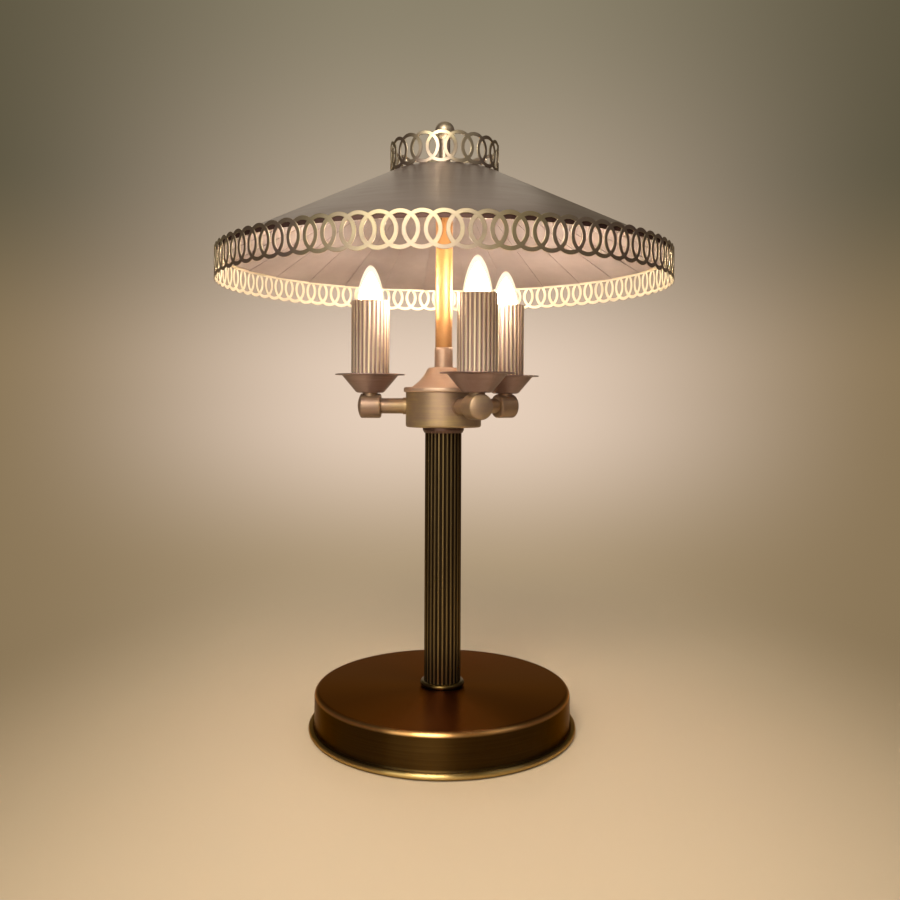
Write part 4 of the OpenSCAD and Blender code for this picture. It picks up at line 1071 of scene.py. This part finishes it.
class LAMP_OT_stage(bpy.types.Operator):
    """Pale floor, soft studio lights and the camera"""
    bl_idname = "lamp.stage"
    bl_label = "Stage"

    def execute(self, context):
        scene = context.scene
        scene.view_settings.view_transform = "Standard"
        self.floor(context)
        self.world(context)
        # Name, place, aim, width, power and colour
        for name, at, aim, size, power, tone in (
            ("key_softbox", (-0.32, -1.5, 1.42), (0, 0, 0.3), 0.7, 27, "#FFF3E2"),
            ("fill_softbox", (1.7, -1.0, 1.9), (0, 0, 0.35), 1.2, 3.5, "#F4F1EA"),
            ("rear_softbox", (-0.2, 1.7, 1.9), (0, 0, 0.4), 1.4, 4, "#FFF1DE"),
            ("front_softbox", (-0.5, -1.45, 0.75), (0, 0, 0.4), 1.5, 12, "#FFF6E8"),
        ):
            light = bpy.data.lights.new(name, "AREA")
            light.size = size
            light.energy = power
            light.color = linear(tone)[:3]
            lamp = bpy.data.objects.new(name, light)
            lamp.location = at
            lamp.rotation_euler = (Vector(aim) - Vector(at)).to_track_quat("-Z", "Y").to_euler()
            scene.collection.objects.link(lamp)
        self.camera(scene)
        return {"FINISHED"}

    def floor(self, context):
        """A wide floor with a pool of light. Beyond it the backdrop's colour, with its painted light and
        shade, hides the horizon.
        """
        mesh = bpy.data.meshes.new("floor")
        half = 40
        mesh.from_pydata([(-half, -half, 0), (half, -half, 0), (half, half, 0), (-half, half, 0)], [],
                         [(0, 1, 2, 3)])
        floor = bpy.data.objects.new("floor", mesh)
        context.scene.collection.objects.link(floor)
        # Painted boards: pale, matt and faintly mottled
        material, tree, where = surface("Painted studio floor")
        tone = tint(context.scene.lamp_colours.floor)
        mottle = add(tree, "NOISE", {"Vector": where, "Scale": per_mm(400), "Detail": 2})
        paint = add(tree, "BLEND", mottle, darker(tone, 0.94), tone)
        painted = coat(tree, {"Base Color": paint, "Roughness": 0.55})
        # Outside the pool the floor is painted: paler with the distance from the camera, and painted shade
        # darker under it
        ahead = add(tree, "VECTOR", where, (0, -CAMERA_AT[1], 0), operation="ADD")
        reach = add(tree, "VECTOR", ahead, operation="LENGTH")
        near = add(tree, "EASE", add(tree, "DIVIDE", 1, reach), 0.58, 0.03)
        pale = add(tree, "BLEND", near, linear(BACKDROP_LOW), linear(BACKDROP))
        under = add(tree, "EASE", reach, 0.3, 1.2)
        pale = add(tree, "BLEND", under, linear(BACKDROP_SIDES), pale)
        wall = add(tree, "ShaderNodeEmission", {"Color": backdrop(tree, ahead, pale), "Strength": 1})
        # The pool lies before the lamp, and is longer towards the camera than it is wide
        from_pool, squash = (-0.04, 0.15, 0), (1, 0.55, 1)
        pool = add(tree, "VECTOR", where, from_pool, operation="ADD")
        pool = add(tree, "VECTOR", pool, squash, operation="MULTIPLY")
        far = add(tree, "EASE", add(tree, "VECTOR", pool, operation="LENGTH"), 0.1, 0.68)
        both = add(tree, "ShaderNodeMixShader", far, painted, wall)
        tree.links.new(both, tree.nodes["Material Output"].inputs["Surface"])
        mesh.materials.append(material)

    def world(self, context):
        """The backdrop, seen by the camera and in the metal, and a plain soft light."""
        world = bpy.data.worlds.new("studio")
        context.scene.world = world
        world.use_nodes = True
        tree = world.node_tree
        tree.nodes.clear()
        wall = backdrop(tree, add(tree, "ShaderNodeTexCoord", out="Generated"), linear(BACKDROP))
        seen = add(tree, "ShaderNodeBackground", {"Color": wall, "Strength": 1})
        lit = add(tree, "ShaderNodeBackground", {"Color": linear("#E8E2D8"), "Strength": 0.32})
        path = add(tree, "ShaderNodeLightPath").node.outputs
        direct = path["Is Camera Ray"]
        for kind in ("Is Glossy Ray", "Is Transmission Ray"):
            direct = add(tree, "MAXIMUM", direct, path[kind])
        both = add(tree, "ShaderNodeMixShader", direct, lit, seen)
        add(tree, "ShaderNodeOutputWorld", {"Surface": both})

    def camera(self, scene):
        """Level camera at the height of the arms. The frame's shift gives the photograph's framing."""
        data = bpy.data.cameras.new("camera")
        data.sensor_width = SENSOR
        data.lens = SENSOR * FOCAL_PX / IMAGE_PX
        data.shift_x = (IMAGE_PX / 2 - AXIS_PX) / IMAGE_PX
        data.shift_y = (HORIZON_PX - IMAGE_PX / 2) / IMAGE_PX
        camera = bpy.data.objects.new("camera", data)
        camera.location = CAMERA_AT
        camera.rotation_euler = (math.radians(90), math.radians(CAMERA_ROLL), 0)
        scene.collection.objects.link(camera)
        scene.camera = camera


class LAMP_PT_panel(bpy.types.Panel):
    """Lists the lamp's operators and sizes"""
    bl_idname = "LAMP_PT_panel"
    bl_label = "Table lamp"
    bl_space_type = "VIEW_3D"
    bl_region_type = "UI"
    bl_category = "Lamp"

    def draw(self, context):
        for group in SETTINGS:
            box = self.layout.box()
            settings = getattr(context.scene, group)
            for key in settings.bl_rna.properties.keys():
                if key not in ("rna_type", "name"):
                    box.prop(settings, key)
        for operator in OPERATORS:
            self.layout.operator(operator.bl_idname)


SETTINGS = {"lamp_base": LampBaseSizes, "lamp_tube": LampTubeSizes, "lamp_shade": LampShadeSizes,
            "lamp_colours": LampColours}
OPERATORS = (LAMP_OT_base, LAMP_OT_column, LAMP_OT_hub, LAMP_OT_arms, LAMP_OT_candles, LAMP_OT_shade,
             LAMP_OT_ring_bands, LAMP_OT_finial, LAMP_OT_stage)


def register():
    for item in (*SETTINGS.values(), *OPERATORS, LAMP_PT_panel):
        bpy.utils.register_class(item)
    for name, group in SETTINGS.items():
        setattr(bpy.types.Scene, name, PointerProperty(type=group))


def unregister():
    for name in SETTINGS:
        delattr(bpy.types.Scene, name)
    for item in (LAMP_PT_panel, *OPERATORS[::-1], *SETTINGS.values()):
        bpy.utils.unregister_class(item)


def main():
    register()
    for operator in OPERATORS:
        family, name = operator.bl_idname.split(".")
        getattr(getattr(bpy.ops, family), name)()


if __name__ == "__main__":
    main()
